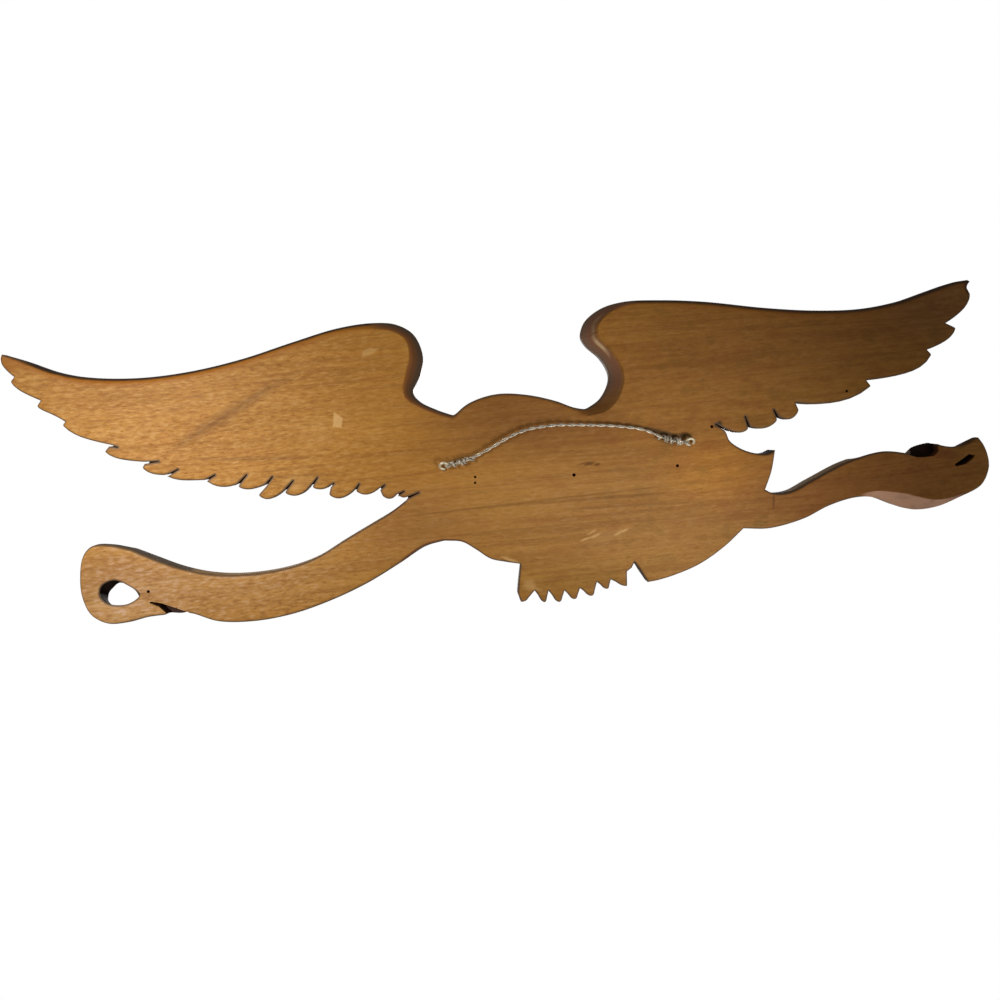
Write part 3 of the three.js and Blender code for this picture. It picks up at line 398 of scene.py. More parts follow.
def evenly_in_space(points, step):
    far = np.concatenate([[0], np.cumsum(np.linalg.norm(np.diff(points, axis=0), axis=1))])
    at = np.linspace(0, far[-1], int(far[-1] / step) + 1)
    return np.stack([np.interp(at, far, points[:, k]) for k in range(3)], axis=1)


def wound_end(eye, inward, turns, seed):
    """The wire's spare end: through the ring, back, and round the wire beside it. inward points along the span."""
    luck = np.random.default_rng(seed)
    grip = ring_centre[eye] + EYE_RING * np.array((inward, 0, 0))
    swing = np.radians(np.linspace(-50, 215, 14))
    loop = [grip + 1.62 * (math.cos(a) * np.array((inward, 0, 0)) + math.sin(a) * RING_FACE) for a in swing]
    loop = [p + RING_UP * 0.9 * k / len(loop) for k, p in enumerate(loop)]
    line = evenly_in_space(route if inward < 0 else route[::-1], 0.25)
    if np.linalg.norm(line[0] - ring_centre[eye]) > np.linalg.norm(line[-1] - ring_centre[eye]):
        line = line[::-1]
    side, over = carried_frames(line)
    coil = []
    for k in range(turns * 8 + 1):
        share = k / (turns * 8)
        at = int((1.6 + 15 * share**1.15 + 0.9 * math.sin(11 * share + seed)) / 0.25)
        angle = 2.4 + k * math.pi / 4 + 0.9 * math.sin(7 * share + seed)
        away = 1.7 + 0.35 * luck.random() + 0.25 * math.sin(3.1 * share + seed)
        coil.append(line[at] + away * (side[at] * math.cos(angle) + over[at] * math.sin(angle)))
    stub = coil[-1] + (coil[-1] - coil[-3]) * 0.35
    path = evenly_in_space(curve(loop + coil + [stub], per_span=6), 0.3)
    path[:, 1] = np.clip(path[:, 1], -STANDOFF + 0.85, 0.88)
    return tube(path, 0.8, sides=12, lobes=2, groove=0.2, turn_every=5, taper=0.6)


wire_parts = [strand(0), strand(math.pi), wound_end("screw_eye_left", -1, 4, 3), wound_end("screw_eye_right", 1, 5, 8)]
wire = make_piece("picture_wire", wire_parts, steel, "hanging_wire")

# %% [markdown]
# ## The screw eyes
#
# A screw eye is one bar: a threaded shank in the wood, a bend, and a ring that almost closes on itself. It could be
# a torus with a cylinder stuck to it. Here it is one tube along the bar's real path, so the small gap shows where
# the ring's end meets the neck.


# %% Screw eyes
def screw_eye(name):
    x, z = EYES[name]
    centre = ring_centre[name]
    shank = [behind(x, z - PILOT_DROP, -depth) for depth in (8.4, 5, 2, 0.6)]
    foot = centre - RING_UP * EYE_RING
    neck = [foot + (foot - centre) * 0.1]
    turns = np.radians(np.linspace(-78, 232, 30))
    ring = [centre + EYE_RING * (np.array((math.cos(a), 0, 0)) + math.sin(a) * RING_UP) for a in turns]
    path = evenly_in_space(curve(shank + neck + ring, per_span=6), 0.4)
    return make_piece(name + "_brass", [tube(path, EYE_GAUGE / 2, sides=16, taper=0.5)], brass, name)


for eye_name in EYES:
    screw_eye(eye_name)

# %% [markdown]
# ## The board's outline
#
# The carver sawed one outline: two feathered wings, the neck arch, shield, tail and ribbon. The picture gives it as
# a list of named stretches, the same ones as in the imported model. They could be drawn as one long polyline; kept
# apart, each stretch is smooth in itself and the corners between them stay sharp. The third number is the width
# of the softened edge round the back.

# %% Stretches of the outline, anticlockwise from the tail
EDGE = 1.6  # usual width of the softened edge
TIP_EDGE = 1.1
TOOTH_EDGE = 0.9
SLIT_EDGE = 0.3
SLIT_MOUTH = 1.3  # width of a saw cut at the outline
SLIT_END = 0.5
BEVEL_SLOPE = 1.15  # depth of the softened edge for each millimetre of its width
LEAST_BEVEL = 0.6
MOST_BEVEL = 10.5
LOBE_FULLNESS = 0.38  # how far a lobe swells near its tip, for each millimetre of its length
TIP_WORN = 1.7  # how far from a lobe's tip its edge is worn round
STEP = 1.15  # distance between points along the outline
TAIL_START = [(-64.4, -113.4, 1), (-59.4, -103.4, 1), (-56.3, -98.5, 1), (-54.3, -102.2, 1), (-50.6, -104.6, 0.8)]
TAIL_TEETH = [
    (-49.6, -114.6, -39, -109), (-36, -115.3, -29.3, -109.8), (-24.7, -119, -17.3, -112.9),
    (-12.8, -120.1, -6.5, -113.5), (-2, -121, 4.5, -112.5), (8, -120.1, 14, -111.4), (23.8, -118.2, 25.8, -112.1),
]
TAIL_SIDE = [(25.8, -112.1, 1), (24.5, -104.1), (22.2, -92)]
BELLY_EDGE = [(22.2, -92), (32, -89.6), (42, -86.4), (51.3, -79.1), (60.3, -72.9), (72.2, -70.9)]
RIBBON_RIGHT_LOWER = [
    (72.2, -70.9, 2), (85.3, -73.5, 2.4), (103.5, -83.1, 2.4), (128, -95, 2.2), (155.8, -104.8), (182, -111),
    (208, -113), (231, -110.5, 1.2), (249.6, -102.9, 1), (257, -103.6, 1), (265.4, -102.4, 1),
]
CURL = [
    (265.4, -102.4, 1), (278, -103, 2), (291, -105.1, 2), (305.2, -104.6, 1.6), (315.5, -97.6, 1.4),
    (320, -84.6, 1.4), (319.6, -70, 1.6), (316, -57, 2), (309.2, -51, 2), (297, -51.5, 1.6), (283, -56),
]
RIBBON_RIGHT_UPPER = [
    (283, -56), (268, -64.3), (250, -72.6), (230, -78.3), (205, -80.6), (180, -78.9), (160.2, -73.9),
    (140.5, -64.2), (120.4, -54.6), (105.7, -47.5), (95.2, -40.9, 1),
]
LOBES_RIGHT = [
    (86, -36.3, 94.8, -39.3, 96.8, -38.7, 99.2, -37.7), (96, -34.5, 101, -36.8, 105.5, -38.5, 110.9, -36.3),
    (108.5, -29, 112.4, -31.6, 120, -33.9, 128, -31.7), (125.5, -26.5, 129, -31, 138, -34.6, 146.8, -32),
    (142.5, -24.5, 145.3, -26.3, 150, -27.5, 157.1, -26.2), (153, -19.5, 157.6, -24.7, 166, -29.5, 175.9, -28.2),
    (169.5, -20, 176.4, -26.7, 186, -30.4, 194.1, -27.6), (183, -16, 188.3, -21.4, 197, -22.6, 206.4, -21.1),
    (200, -13, 206.8, -19.2, 215.9, -19.4, 226.6, -15.5), (221, -11, 227.9, -14.4, 239.7, -12.5, 253.6, -8.8),
    (245, -5, 253.2, -8.5, 261.1, -6.5, 269.1, -1.7), (257, 1.5, 266.9, 1.5, 279.9, 5.3, 292.5, 11.4),
    (283, 13.5, 288.7, 15.3, 302.8, 21.7, 318, 31.6), (315.9, 33.8, 315.9, 33.8, 325.2, 40.7, 333.1, 45.7),
    (330.2, 49.3, 330.2, 49.3, 339.5, 55.3, 348.2, 63.5), (345.4, 66.4, 345.4, 66.4, 350.5, 72.7, 352.6, 79.4),
]
LOBES_LEFT = [
    (-119.6, -9.4, -126, -13.9, -134.5, -16.4, -142.4, -14.8),
    (-140.3, -6, -142.4, -13.6, -151.9, -15.2, -162.4, -11.3),
    (-160.3, -3.3, -162.6, -8.7, -170.9, -10.8, -177.9, -5.7), (-176, -0.2, -176, -0.2, -199.7, -1.6, -228.9, 6.1),
    (-226, 10.3, -226, 10.3, -252.7, 13.5, -272.2, 23.6), (-269.2, 27.2, -269.2, 27.2, -281.3, 32, -290.1, 40.1),
    (-283.2, 44, -283.2, 44, -294.3, 51.5, -301.3, 61.8), (-299.2, 66.2, -299.2, 66.2, -299.8, 68.6, -301.6, 70.6),
]
WING_RIGHT_LEADING = [
    (351.4, 81.9, 1), (338.3, 76.6, 2.4), (318.4, 67.3, 3), (296.1, 61.5, 3.6), (264, 58.3, 3.6), (230, 59.5, 3.6),
    (195, 64.5, 3.4), (160, 72.5, 3.2), (130, 78.8, 3.4), (106, 80.4, 4.8), (90, 77.9, 5.8), (78.9, 69.9, 7),
    (74.6, 55, 9), (77.8, 42.8, 9.5), (83.6, 31.3, 6.2), (79.5, 25, 4), (68.2, 18.1, 3.4), (57.5, 13.3, 3),
]
NECK = [
    (57.5, 13.3, 3), (46.5, 20.6, 2.2), (28, 24.9, 2.2), (8, 22.8, 2.2), (-12.3, 16.6, 2.4), (-24.2, 11.1, 3),
    (-33.2, 8.8, 5),
]
WING_LEFT_LEADING = [
    (-33.2, 8.8, 5), (-44.4, 15.7, 9), (-51.3, 29.3, 9), (-46.6, 42.6, 8), (-37.1, 52.5, 10), (-34.2, 58.4, 12),
    (-37.8, 68.4, 9.5), (-48.4, 75.7, 6.5), (-64, 78.8, 3.6), (-90, 77.5, 3), (-120, 73.7, 3.2), (-160, 66, 3.4),
    (-195, 61, 3.6), (-226, 59.3, 3.6), (-252, 61.9, 3), (-275, 67.5, 2.4), (-290, 71, 1.4), (-299.6, 71.6, 0.6),
]
SHIELD_TOP = [(-126.9, -16.6, 1), (-129, -22), (-137.5, -28.7), (-147, -32.3), (-154, -33), (-159.5, -31.2, 1)]
SHIELD_SIDE = [(-159.5, -31.2, 1), (-156, -45.1, 1), (-150.6, -57.6, 1)]
RIBBON_LEFT_UPPER = [
    (-150.6, -57.6, 1), (-156, -60.6, 1), (-168, -60.7), (-184, -54.2), (-208, -44.3), (-234, -39.3),
    (-251.2, -42.3, 1), (-256.4, -43.8, 1), (-257.4, -42.8, 1), (-256.2, -40.2, 1), (-258.4, -38.8, 1),
    (-266, -37.2, 1), (-270.4, -37, 1), (-275.6, -39.2, 1), (-284, -40.7, 1), (-289.9, -38.9, 1),
    (-295.6, -36.3, 1), (-298.8, -35.7, 1), (-301.3, -36.2, 1),
]
RIBBON_LEFT_LOWER = [
    (-301.3, -36.2, 1), (-304.6, -41, 1.4), (-307.2, -48.5, 1.4), (-307.7, -57.2, 1.4), (-301.9, -69, 1.6),
    (-286.2, -76.3, 2.4), (-272, -81.8, 6), (-258, -82.8, 9.5), (-243.2, -77.9, 9.5), (-227.1, -70.7, 5),
    (-212, -69.3), (-194.3, -73.1), (-176.1, -80.3), (-152, -84.6), (-133.6, -82.9, 1),
]
SHIELD_LOWER = [
    (-133.6, -82.9, 1), (-119.7, -94.1), (-101.6, -104.5), (-84, -110.3), (-72, -112.8), (-64.4, -113.4, 1),
]


def with_width(points, usual=EDGE):
    return np.array([(*p, usual)[:3] for p in points], float)


def smooth(points):
    return curve(with_width(points), per_span=14)


def hind_edge(lobes, hand):
    """A wing's hind edge, from the body outwards: a saw cut, a belly and a tip for each feather."""
    edge = []
    for end_x, end_y, mouth_x, mouth_y, belly_x, belly_y, tip_x, tip_y in lobes:
        mouth, end = np.array((mouth_x, mouth_y), float), np.array((end_x, end_y), float)
        cut = mouth - end
        if np.linalg.norm(cut) < 1:
            edge.append((*mouth, TIP_EDGE))
        else:
            across = unit((-cut[1], cut[0])) * hand / 2
            for place, width in ((mouth, -SLIT_MOUTH), (end, -SLIT_END), (end, SLIT_END), (mouth, SLIT_MOUTH)):
                edge.append((*(place + width * across), SLIT_EDGE))
        start = np.array(edge[-1][:2])
        tip = np.array((tip_x, tip_y), float)
        pull = 2 * np.array((belly_x, belly_y), float) - (start + tip) / 2
        swell = LOBE_FULLNESS * hand * np.array((tip_y - start[1], start[0] - tip_x))
        for t in np.linspace(0, 1, 9)[1:]:
            x, y = (1 - t) ** 2 * start + 2 * t * (1 - t) * pull + t**2 * tip + swell * t**3 * (1 - t)
            edge.append((x, y, TIP_EDGE))
    return np.array(edge)


def tail_edge(first, teeth):
    """The tail's teeth: each runs down to a rounded point and back up to the next notch."""
    edge = [with_width([first])]
    before = np.array(first[:2], float)
    for tip_x, tip_y, next_x, next_y in teeth:
        tip, after = np.array((tip_x, tip_y), float), np.array((next_x, next_y), float)

        def flank(start, along, down):
            return start + (tip - start) * (along, down)

        tooth = [before, flank(before, 0.4, 0.55), flank(before, 0.66, 0.92), tip]
        tooth += [flank(after, 0.62, 0.8), flank(after, 0.32, 0.36), after]
        edge.append(curve(with_width(tooth, TOOTH_EDGE), per_span=4)[1:])
        before = after
    return np.vstack(edge)


def outline():
    """The whole edge, its points about STEP apart, as x, y and the softened edge's width."""
    stretches = [
        with_width(TAIL_START), tail_edge(TAIL_START[-1], TAIL_TEETH), smooth(TAIL_SIDE), smooth(BELLY_EDGE),
        smooth(RIBBON_RIGHT_LOWER), smooth(CURL), smooth(RIBBON_RIGHT_UPPER), hind_edge(LOBES_RIGHT, 1),
        smooth(WING_RIGHT_LEADING), smooth(NECK), smooth(WING_LEFT_LEADING), hind_edge(LOBES_LEFT, -1)[::-1],
        smooth(SHIELD_TOP), smooth(SHIELD_SIDE), smooth(RIBBON_LEFT_UPPER), smooth(RIBBON_LEFT_LOWER),
        smooth(SHIELD_LOWER),
    ]
    line = np.vstack(stretches)
    far = np.linalg.norm(np.diff(line[:, :2], axis=0, append=line[:1, :2]), axis=1)
    line = line[far > 0.02]
    turn = unit(line[:, :2] - np.roll(line[:, :2], 1, axis=0))
    onward = np.roll(turn, -1, axis=0)
    corners = np.flatnonzero((turn * onward).sum(axis=1) < math.cos(math.radians(20)))
    runs = []
    for start, end in zip(corners, np.roll(corners, -1)):
        run = line[start : end + 1] if end > start else np.vstack([line[start:], line[: end + 1]])
        runs.append(evenly(run, STEP)[:-1])
    edge = np.vstack(runs)
    low, high = np.array(cad_box)[:, [0, 2]] / MM
    edge[:, :2] = np.clip(edge[:, :2], low, high)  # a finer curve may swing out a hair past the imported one
    return edge


def rounded_tips(line):
    """The same edge with each lobe's point worn round, and the corners beside the neck rounder still."""
    tips = [(lobe[6:], TIP_WORN, 1) for lobe in LOBES_RIGHT[1:-1] + LOBES_LEFT[:-1]]
    for place, reach, rounds in tips + [(NECK[0][:2], 3.0, 2), (NECK[-1][:2], 4.0, 6)]:
        near = np.flatnonzero(np.linalg.norm(line[:, :2] - place, axis=1) < reach)
        for _ in range(rounds):
            line[near, :2] = (line[near, :2] * 2 + line[near - 1, :2] + line[near + 1, :2]) / 4
    return line


edge_line = rounded_tips(outline())
print("outline:", len(edge_line), "points, from", edge_line.min(axis=0).round(1), "to", edge_line.max(axis=0).round(1))

# %% [markdown]
# ## Holes and hollows
#
# The ribbon's curl is pierced, from the back to a slightly different place on the front, so its wall slants. Three
# dark pockets part the ribbon from its own fold, and a few nail holes are left from earlier fittings. Boolean cuts
# would work, but a function of depth is steadier: each place on the back simply knows how deep it lies.

# %% Places of the holes
BOARD = 22
GROUND = 8  # thickness between the carved forms
UNDER = 4
POCKET_DEPTH = 9.5
PIT_DEPTH = 5
HOLE_EDGE = 0.7
CURL_HOLE_BACK = [
    (281.4, -87), (288.5, -79.8), (297, -75.5), (305.8, -78.7), (307.4, -85.5), (302.5, -91), (290, -92.4),
]
CURL_HOLE_FRONT = [
    (284.5, -90), (288, -82.5), (296, -78.3), (301.5, -81.8), (306, -86), (308.6, -91), (304.5, -96), (294, -96.4),
]
POCKETS = [
    (
        (246, -108), (249.8, -102.2), (258, -98.3), (267.5, -94), (274.6, -92.2), (275.2, -93.3), (269.1, -96.5),
        (265.2, -101), (266, -108),
    ),
    (
        (-272.4, -38), (-272.8, -43.2), (-269.4, -45.9), (-262.6, -46.3), (-256.6, -45.5), (-252.6, -43.6),
        (-250.2, -42), (-249, -32), (-272.4, -32),
    ),
    (
        (-298, -48.2), (-295.6, -50.9), (-291, -53.6), (-284, -54.6), (-283.2, -52.8), (-288.4, -50), (-293.6, -46.8),
    ),
]
PITS = [
    (47.1, -29.5, 0.9), (47.5, -33.4, 0.9), (-20.1, -34.7, 1.2), (-91.3, -35.3, 1.1), (-117, -11, 1.1),
    (-211.5, 4.4, 1), (275, -85.4, 1.1),
]


def to_segments(points, line, closed=True):
    """The distance of each point to a line, the nearest stretch of it and the share along that stretch."""
    start = line if closed else line[:-1]
    run = (np.roll(line, -1, axis=0) if closed else line[1:]) - start
    best = np.full(len(points), np.inf)
    which = np.zeros(len(points), int)
    share = np.zeros(len(points))
    for i in range(len(start)):
        rel = points - start[i]
        t = np.clip(rel @ run[i] / max(run[i] @ run[i], 1e-9), 0, 1)
        far = np.hypot(rel[:, 0] - t * run[i, 0], rel[:, 1] - t * run[i, 1])
        nearer = far < best
        best[nearer], which[nearer], share[nearer] = far[nearer], i, t[nearer]
    return best, which, share


def inside(points, loop):
    """Whether each point lies inside a closed line."""
    odd = np.zeros(len(points), bool)
    x, y = points[:, 0], points[:, 1]
    for (ax, ay), (bx, by) in zip(loop, np.roll(loop, -1, axis=0)):
        if ay != by:
            crosses = ((ay > y) != (by > y)) & (x < (bx - ax) * (y - ay) / (by - ay) + ax)
            odd ^= crosses
    return odd


def depth_inside(points, loop):
    """How far each point lies inside a closed line, negative outside it."""
    far = to_segments(points, loop)[0]
    return np.where(inside(points, loop), far, -far)


hole_back = evenly(curve(CURL_HOLE_BACK, closed=True), STEP * 0.8, closed=True)
hole_front = curve(CURL_HOLE_FRONT, closed=True)
front_at = np.linspace(0, len(hole_front), len(hole_back), endpoint=False)
closed_front = np.vstack([hole_front, hole_front[:1]])
hole_front = np.stack([np.interp(front_at, np.arange(len(closed_front)), closed_front[:, k]) for k in (0, 1)], axis=1)
spin = sum(ax * by - bx * ay for (ax, ay), (bx, by) in zip(hole_back, np.roll(hole_back, -1, axis=0)))
if spin > 0:  # run holes clockwise, so that the wood lies on the left of every line
    hole_back, hole_front = hole_back[::-1], hole_front[::-1]
pilots = [(x, z - PILOT_DROP, 1.35) for x, z in EYES.values()]
print("hole in the curl:", len(hole_back), "points;", len(POCKETS), "pockets;", len(PITS), "nail holes")

# %% [markdown]
# ## The carved front as a landscape
#
# The front isn't in the picture, so it is carved in keeping with the outline and kept plain. A relief cut from one
# side is a landscape: over each place of the board it has one height. So every feather, the arm of the wing, the
# body, head, shield and ribbon is a function that returns heights, and the highest one wins, as when overlapping
# feathers hide each other. Sculpting or booleans could do it too, but this way a crossing can never fail.

# %% Lines that the carving follows
QUILL_ROOTS = [(62, -24), (96, 14), (134, 36), (168, 43), (222, 46), (292, 60)]
COVERT_ROOTS = [(64, -4), (98, 30), (138, 50), (176, 54), (232, 53), (296, 63)]
COVERT_TIPS = [(86, -25), (122, -10), (165, 1), (212, 12), (268, 27), (324, 57)]
SCALE_ROOTS = [(66, 14), (98, 44), (138, 62), (186, 60), (240, 54), (300, 63)]
SCALE_TIPS = [(82, 4), (114, 22), (156, 29), (204, 33), (258, 41), (314, 60)]
EXTRA_TIPS_LEFT = [(-120, -14), (-198, -2.5), (-248, 13)]
ARM = [
    (86, 14, 20, 15), (92, 48, 27, 21), (112, 65, 25, 21.5), (150, 63, 18, 20), (200, 54, 13, 18),
    (250, 50, 11, 16), (295, 57, 9, 14), (338, 72, 6, 12),
]
BODY = [(34, 4, 20, 17), (26, -20, 33, 19.5), (10, -45, 44, 20.5), (-2, -70, 38, 19), (-8, -92, 29, 14)]
SHOULDER_RIGHT = [(36, -44, 24, 14), (62, -16, 24, 16.5), (88, 22, 20, 16)]
SHOULDER_LEFT = [(2, -44, 24, 14), (-22, -16, 24, 16.5), (-46, 22, 20, 16)]
NECK_AND_HEAD = [
    (38, -22, 22, 19), (37, -2, 22, 20.5), (22, 5, 19, 21.5), (4, 3, 17, 22), (-10, 1, 13, 21),
    (-20, 0, 8, 18),
]
BEAK = [(-12, 0, 9, 18), (-25, 1, 8.4, 18.5), (-35, -3, 6.4, 17.5), (-39.5, -11, 3.6, 16), (-38, -19, 1, 13)]
BROW = [(8, 12, 3, 21.8), (-4, 11, 3.2, 22.6), (-17, 7.5, 2, 20)]
THIGH_RIGHT = [(22, -40, 15, 20), (38, -56, 15, 21), (54, -66, 9, 18), (62, -66, 6, 16)]
THIGH_LEFT = [(2, -44, 15, 20), (-16, -58, 14, 21), (-32, -66, 9, 20), (-40, -67, 6, 19.5)]
TOES = [
    ((58, -62, 4.5, 16), (72, -53, 4.2, 17.5), (82, -55, 3.2, 16), (87, -62, 1, 13)),
    ((60, -66, 4.5, 16), (77, -62, 4.2, 17.5), (88, -66, 3.2, 16), (91, -73, 1, 13)),
    ((58, -68, 4.5, 16), (70, -68, 4.2, 17.5), (79, -73, 3.2, 16), (80, -79, 1, 13)),
    ((-36, -64, 4.5, 19), (-50, -55, 4.2, 21), (-60, -57, 3.2, 20), (-64, -64, 1, 17)),
    ((-38, -67, 4.5, 19), (-54, -66, 4.2, 21), (-65, -70, 3.2, 20), (-68, -77, 1, 17)),
    ((-36, -70, 4.5, 19), (-48, -76, 4.2, 21), (-57, -82, 3.2, 20), (-58, -89, 1, 17)),
]
SHIELD_HALF = [(0, 0), (13.6, 17.8), (35, 35.5), (60, 48.5), (90, 52.8), (117.5, 49.5), (112, 28), (116, 10)]
RIBBON_RIGHT = [
    (60, -50, 9), (95, -58, 11.5), (125, -73, 15), (155, -87, 15.5), (185, -95, 13.5), (212, -96.5, 12),
    (240, -91, 13), (280, -78, 14),
]
RIBBON_LEFT = [
    (-118, -68, 9), (-150, -71, 12.5), (-176, -68, 15.5), (-202, -60, 14.5), (-226, -55, 12.5),
    (-262, -62, 13),
]
RIBBON_END = [(-246, -62, 16), (-272, -59, 19), (-290, -56, 18.5), (-312, -50, 15)]
CURL_ROLL = [
    (250, -76, 6, 13), (268, -71, 9, 16), (288, -64.5, 11, 18.5), (305, -64, 11, 19), (313.5, -76, 9.5, 19),
    (311.5, -92, 9, 18), (299, -99.5, 6.5, 17), (284, -98, 6, 16), (269, -96, 4, 14),
]


# %% Rounded forms and feathers
WING_FIRST = 69
WING_REACH = 270
EAGLE_AXIS = 21
QUILL_HALF = 8.5
QUILL_TOP = 12.5
COVERT_TOP = 15.2
SCALE_TOP = 17.4
ROW_HALF = 11.5
ROW_COUNT = 8
NOWHERE = -100.0


def scallops(u, v):
    """Rows of overlapping rounded scales, each rising from 0 at its root to 1 at its free edge."""
    row = np.floor(v)
    height = np.zeros_like(u)
    done = np.zeros(len(u), bool)
    for back in (1, 0):
        line = row - back
        across = 2 * np.abs((u + 0.5 * (line % 2)) % 1 - 0.5)
        down = v - line
        mine = ~done & (down < 1 + np.sqrt(np.clip(1 - across**2, 0, 1)) * 0.8) & (down > 0)
        height[mine] = (down[mine] / 1.8) ** 1.2
        done |= mine
    return height


def mound(places, line, scale=None):
    """The height of a rounded form along a line of x, y, half width and height, with scales if asked."""
    path = curve(np.array(line, float), per_span=8)
    far, which, share = to_segments(places, path[:, :2], closed=False)
    half, top = (path[which, k] * (1 - share) + path[which + 1, k] * share for k in (2, 3))
    round_off = np.sqrt(np.clip(1 - (far / half) ** 2, 0, 1))
    height = UNDER + (top - UNDER) * round_off
    if scale:
        run = np.concatenate([[0], np.cumsum(np.linalg.norm(np.diff(path[:, :2], axis=0), axis=1))])
        along = run[which] + share * (run[which + 1] - run[which])
        ahead = path[which + 1, :2] - path[which, :2]
        rel = places - path[which, :2]
        side = np.sign(ahead[:, 0] * rel[:, 1] - ahead[:, 1] * rel[:, 0])
        depth = scallops(side * far / scale, along / (0.8 * scale))
        height += (1.1 * depth - 0.6) * np.clip(round_off * 2, 0, 1)
    return np.where(far < half, height, NOWHERE)


def feather(places, root, tip, half, base, tilt, hand=1, lift=-1.0, quill=0.0, comb=0.25):
    """The height of one carved feather: a leaf with a quill, combed barbs and a higher lower side."""
    root, tip = np.array(root, float), np.array(tip, float)
    length = np.linalg.norm(tip - root)
    ahead = (tip - root) / length
    low = np.array((ahead[1], -ahead[0])) * hand
    rel = places - root
    along, across = rel @ ahead / length, rel @ low
    near = (along > -0.15) & (along < 1.12) & (np.abs(across) < half + 2)
    along, across = along[near], across[near]
    body = np.interp(along, (0, 0.74), (0.6, 1)) * np.sqrt(np.clip(1 - ((along - 0.74) / 0.27) ** 2, 0, 1) * (along > 0.74) + (along <= 0.74))
    width = half * body
    rise = np.interp(along, (0, 0.74, 1), (0.2, 0.9, 1))
    inner = np.minimum(width - np.abs(across), (along + 0.02) * length)
    surface = base[near] if isinstance(base, np.ndarray) else base
    top = surface + lift * rise + tilt * rise * np.clip(across / np.maximum(width, 0.5), -1, 1)
    top += quill * np.exp(-((across / 0.9) ** 2)) * (along < 0.93)
    barb = (along * length - 0.8 * np.abs(across)) / 3.3
    top -= comb * (0.5 - 0.5 * np.cos(2 * np.pi * barb)) * np.clip(inner / 1.5, 0, 1)
    top -= 0.7 * (1 - np.clip(inner / 1.6, 0, 1)) ** 2
    top += np.minimum(inner, 0) * 2.5
    height = np.full(len(places), NOWHERE)
    height[near] = np.where(inner > -4, top, NOWHERE)
    return height


def mirrored(line):
    return [(2 * EAGLE_AXIS - p[0], *p[1:]) for p in line]


def on_line(line, share):
    """The place at a share of a smooth line's spans."""
    path = curve(np.array(line, float)[:, :2], per_span=32)
    at = share * (len(path) - 1)
    return np.array([np.interp(at, np.arange(len(path)), path[:, k]) for k in (0, 1)])


def wing(places, lobes, extra_tips, hand):
    """One wing: quills to the hind edge, two rows over their roots, and the arm over all."""
    flip = (lambda p: np.array(p, float)) if hand > 0 else (lambda p: np.array((2 * EAGLE_AXIS - p[0], p[1]), float))
    heights = []
    for x, y in [lobe[6:] for lobe in lobes] + list(extra_tips):
        share = min(max((abs(x - EAGLE_AXIS) - WING_FIRST) / WING_REACH, 0), 1)
        root = flip(on_line(QUILL_ROOTS, share))
        tip = root + (np.array((x, y)) - root) * (1 + 2 / np.linalg.norm(np.array((x, y)) - root))
        heights.append(feather(places, root, tip, QUILL_HALF, QUILL_TOP - 3 * share, 1.6, hand, quill=0.9, comb=0.4))
    for roots, tips, top, tilt in ((COVERT_ROOTS, COVERT_TIPS, COVERT_TOP, 1.5), (SCALE_ROOTS, SCALE_TIPS, SCALE_TOP, 1.4)):
        for i in range(ROW_COUNT):
            share = (i + 0.5) / ROW_COUNT
            ends = flip(on_line(roots, share)), flip(on_line(tips, share))
            heights.append(feather(places, *ends, ROW_HALF * (1 - 0.35 * share), top, tilt, hand, quill=0.7, comb=0.35))
    arm = ARM if hand > 0 else mirrored(ARM)
    heights.append(mound(places, arm, scale=9))
    return heights


def soft_top(heights, blend):
    """The highest of several forms, with their crossings filled a little, as a gouge leaves them."""
    return blend * np.logaddexp.reduce(np.array(heights) / blend, axis=0)


# %% [markdown]
# ## Body, head, shield and ribbon
#
# Breast and thighs are low mounds covered with rows of scales. The head turns to one side, with a brow, an eye and a
# hooked beak. The shield has a raised rim, a plain upper field and upright stripes, and the ribbon is hollow along
# its middle. All of these are guessed, so they stay as quiet as the carving of such plaques usually is.

# %% Forms of the front
SHIELD_POINT = (-63, -113.5)
SHIELD_LEAN = math.radians(27)
SHIELD_PLATE = 18
SHIELD_SUNK = 14.5
SHIELD_RIM = 4
CHIEF_FROM = 84
STRIPE_PITCH = 13
STRIPE_WIDTH = 8
RIBBON_REACH = 22
RIBBON_HOLLOW = 3
EYE_PLACE = (-5, 5.6)


def step_up(distance, width):
    """0 up to a line and 1 beyond a slope of that width."""
    return np.clip(distance / width, 0, 1)


def shield(places):
    """The leaning shield, its rim, its plain upper field and its stripes."""
    upright = (math.sin(SHIELD_LEAN), math.cos(SHIELD_LEAN))
    rel = places - np.array(SHIELD_POINT)
    up = rel @ np.array((-upright[0], upright[1]))
    across = rel @ np.array((upright[1], upright[0]))
    half = np.array(SHIELD_HALF, float)
    loop = np.vstack([half[:, ::-1], (half[1:][::-1] * (1, -1))[:, ::-1]])
    deep = depth_inside(np.stack([across, up], axis=1), loop)
    field = step_up(deep - SHIELD_RIM, 1.6)
    raised = SHIELD_PLATE - 0.5 * (1 - step_up(deep, 1.2)) ** 2
    stripe = STRIPE_WIDTH / 2 - np.abs((across + STRIPE_PITCH / 2) % STRIPE_PITCH - STRIPE_PITCH / 2)
    bars = step_up(stripe + 0.6, 1.4) * step_up(CHIEF_FROM - 3 - up, 1.4) * (np.abs(across) < 3.5 * STRIPE_PITCH)
    chief = step_up(up - CHIEF_FROM, 1.4)
    proud = np.maximum(bars, chief) * step_up(deep - SHIELD_RIM + 0.5, 1.6)
    sunk = SHIELD_SUNK + (SHIELD_PLATE - 0.7 - SHIELD_SUNK) * proud
    height = raised * (1 - field) + sunk * field
    return np.where(deep > 0, height, NOWHERE)


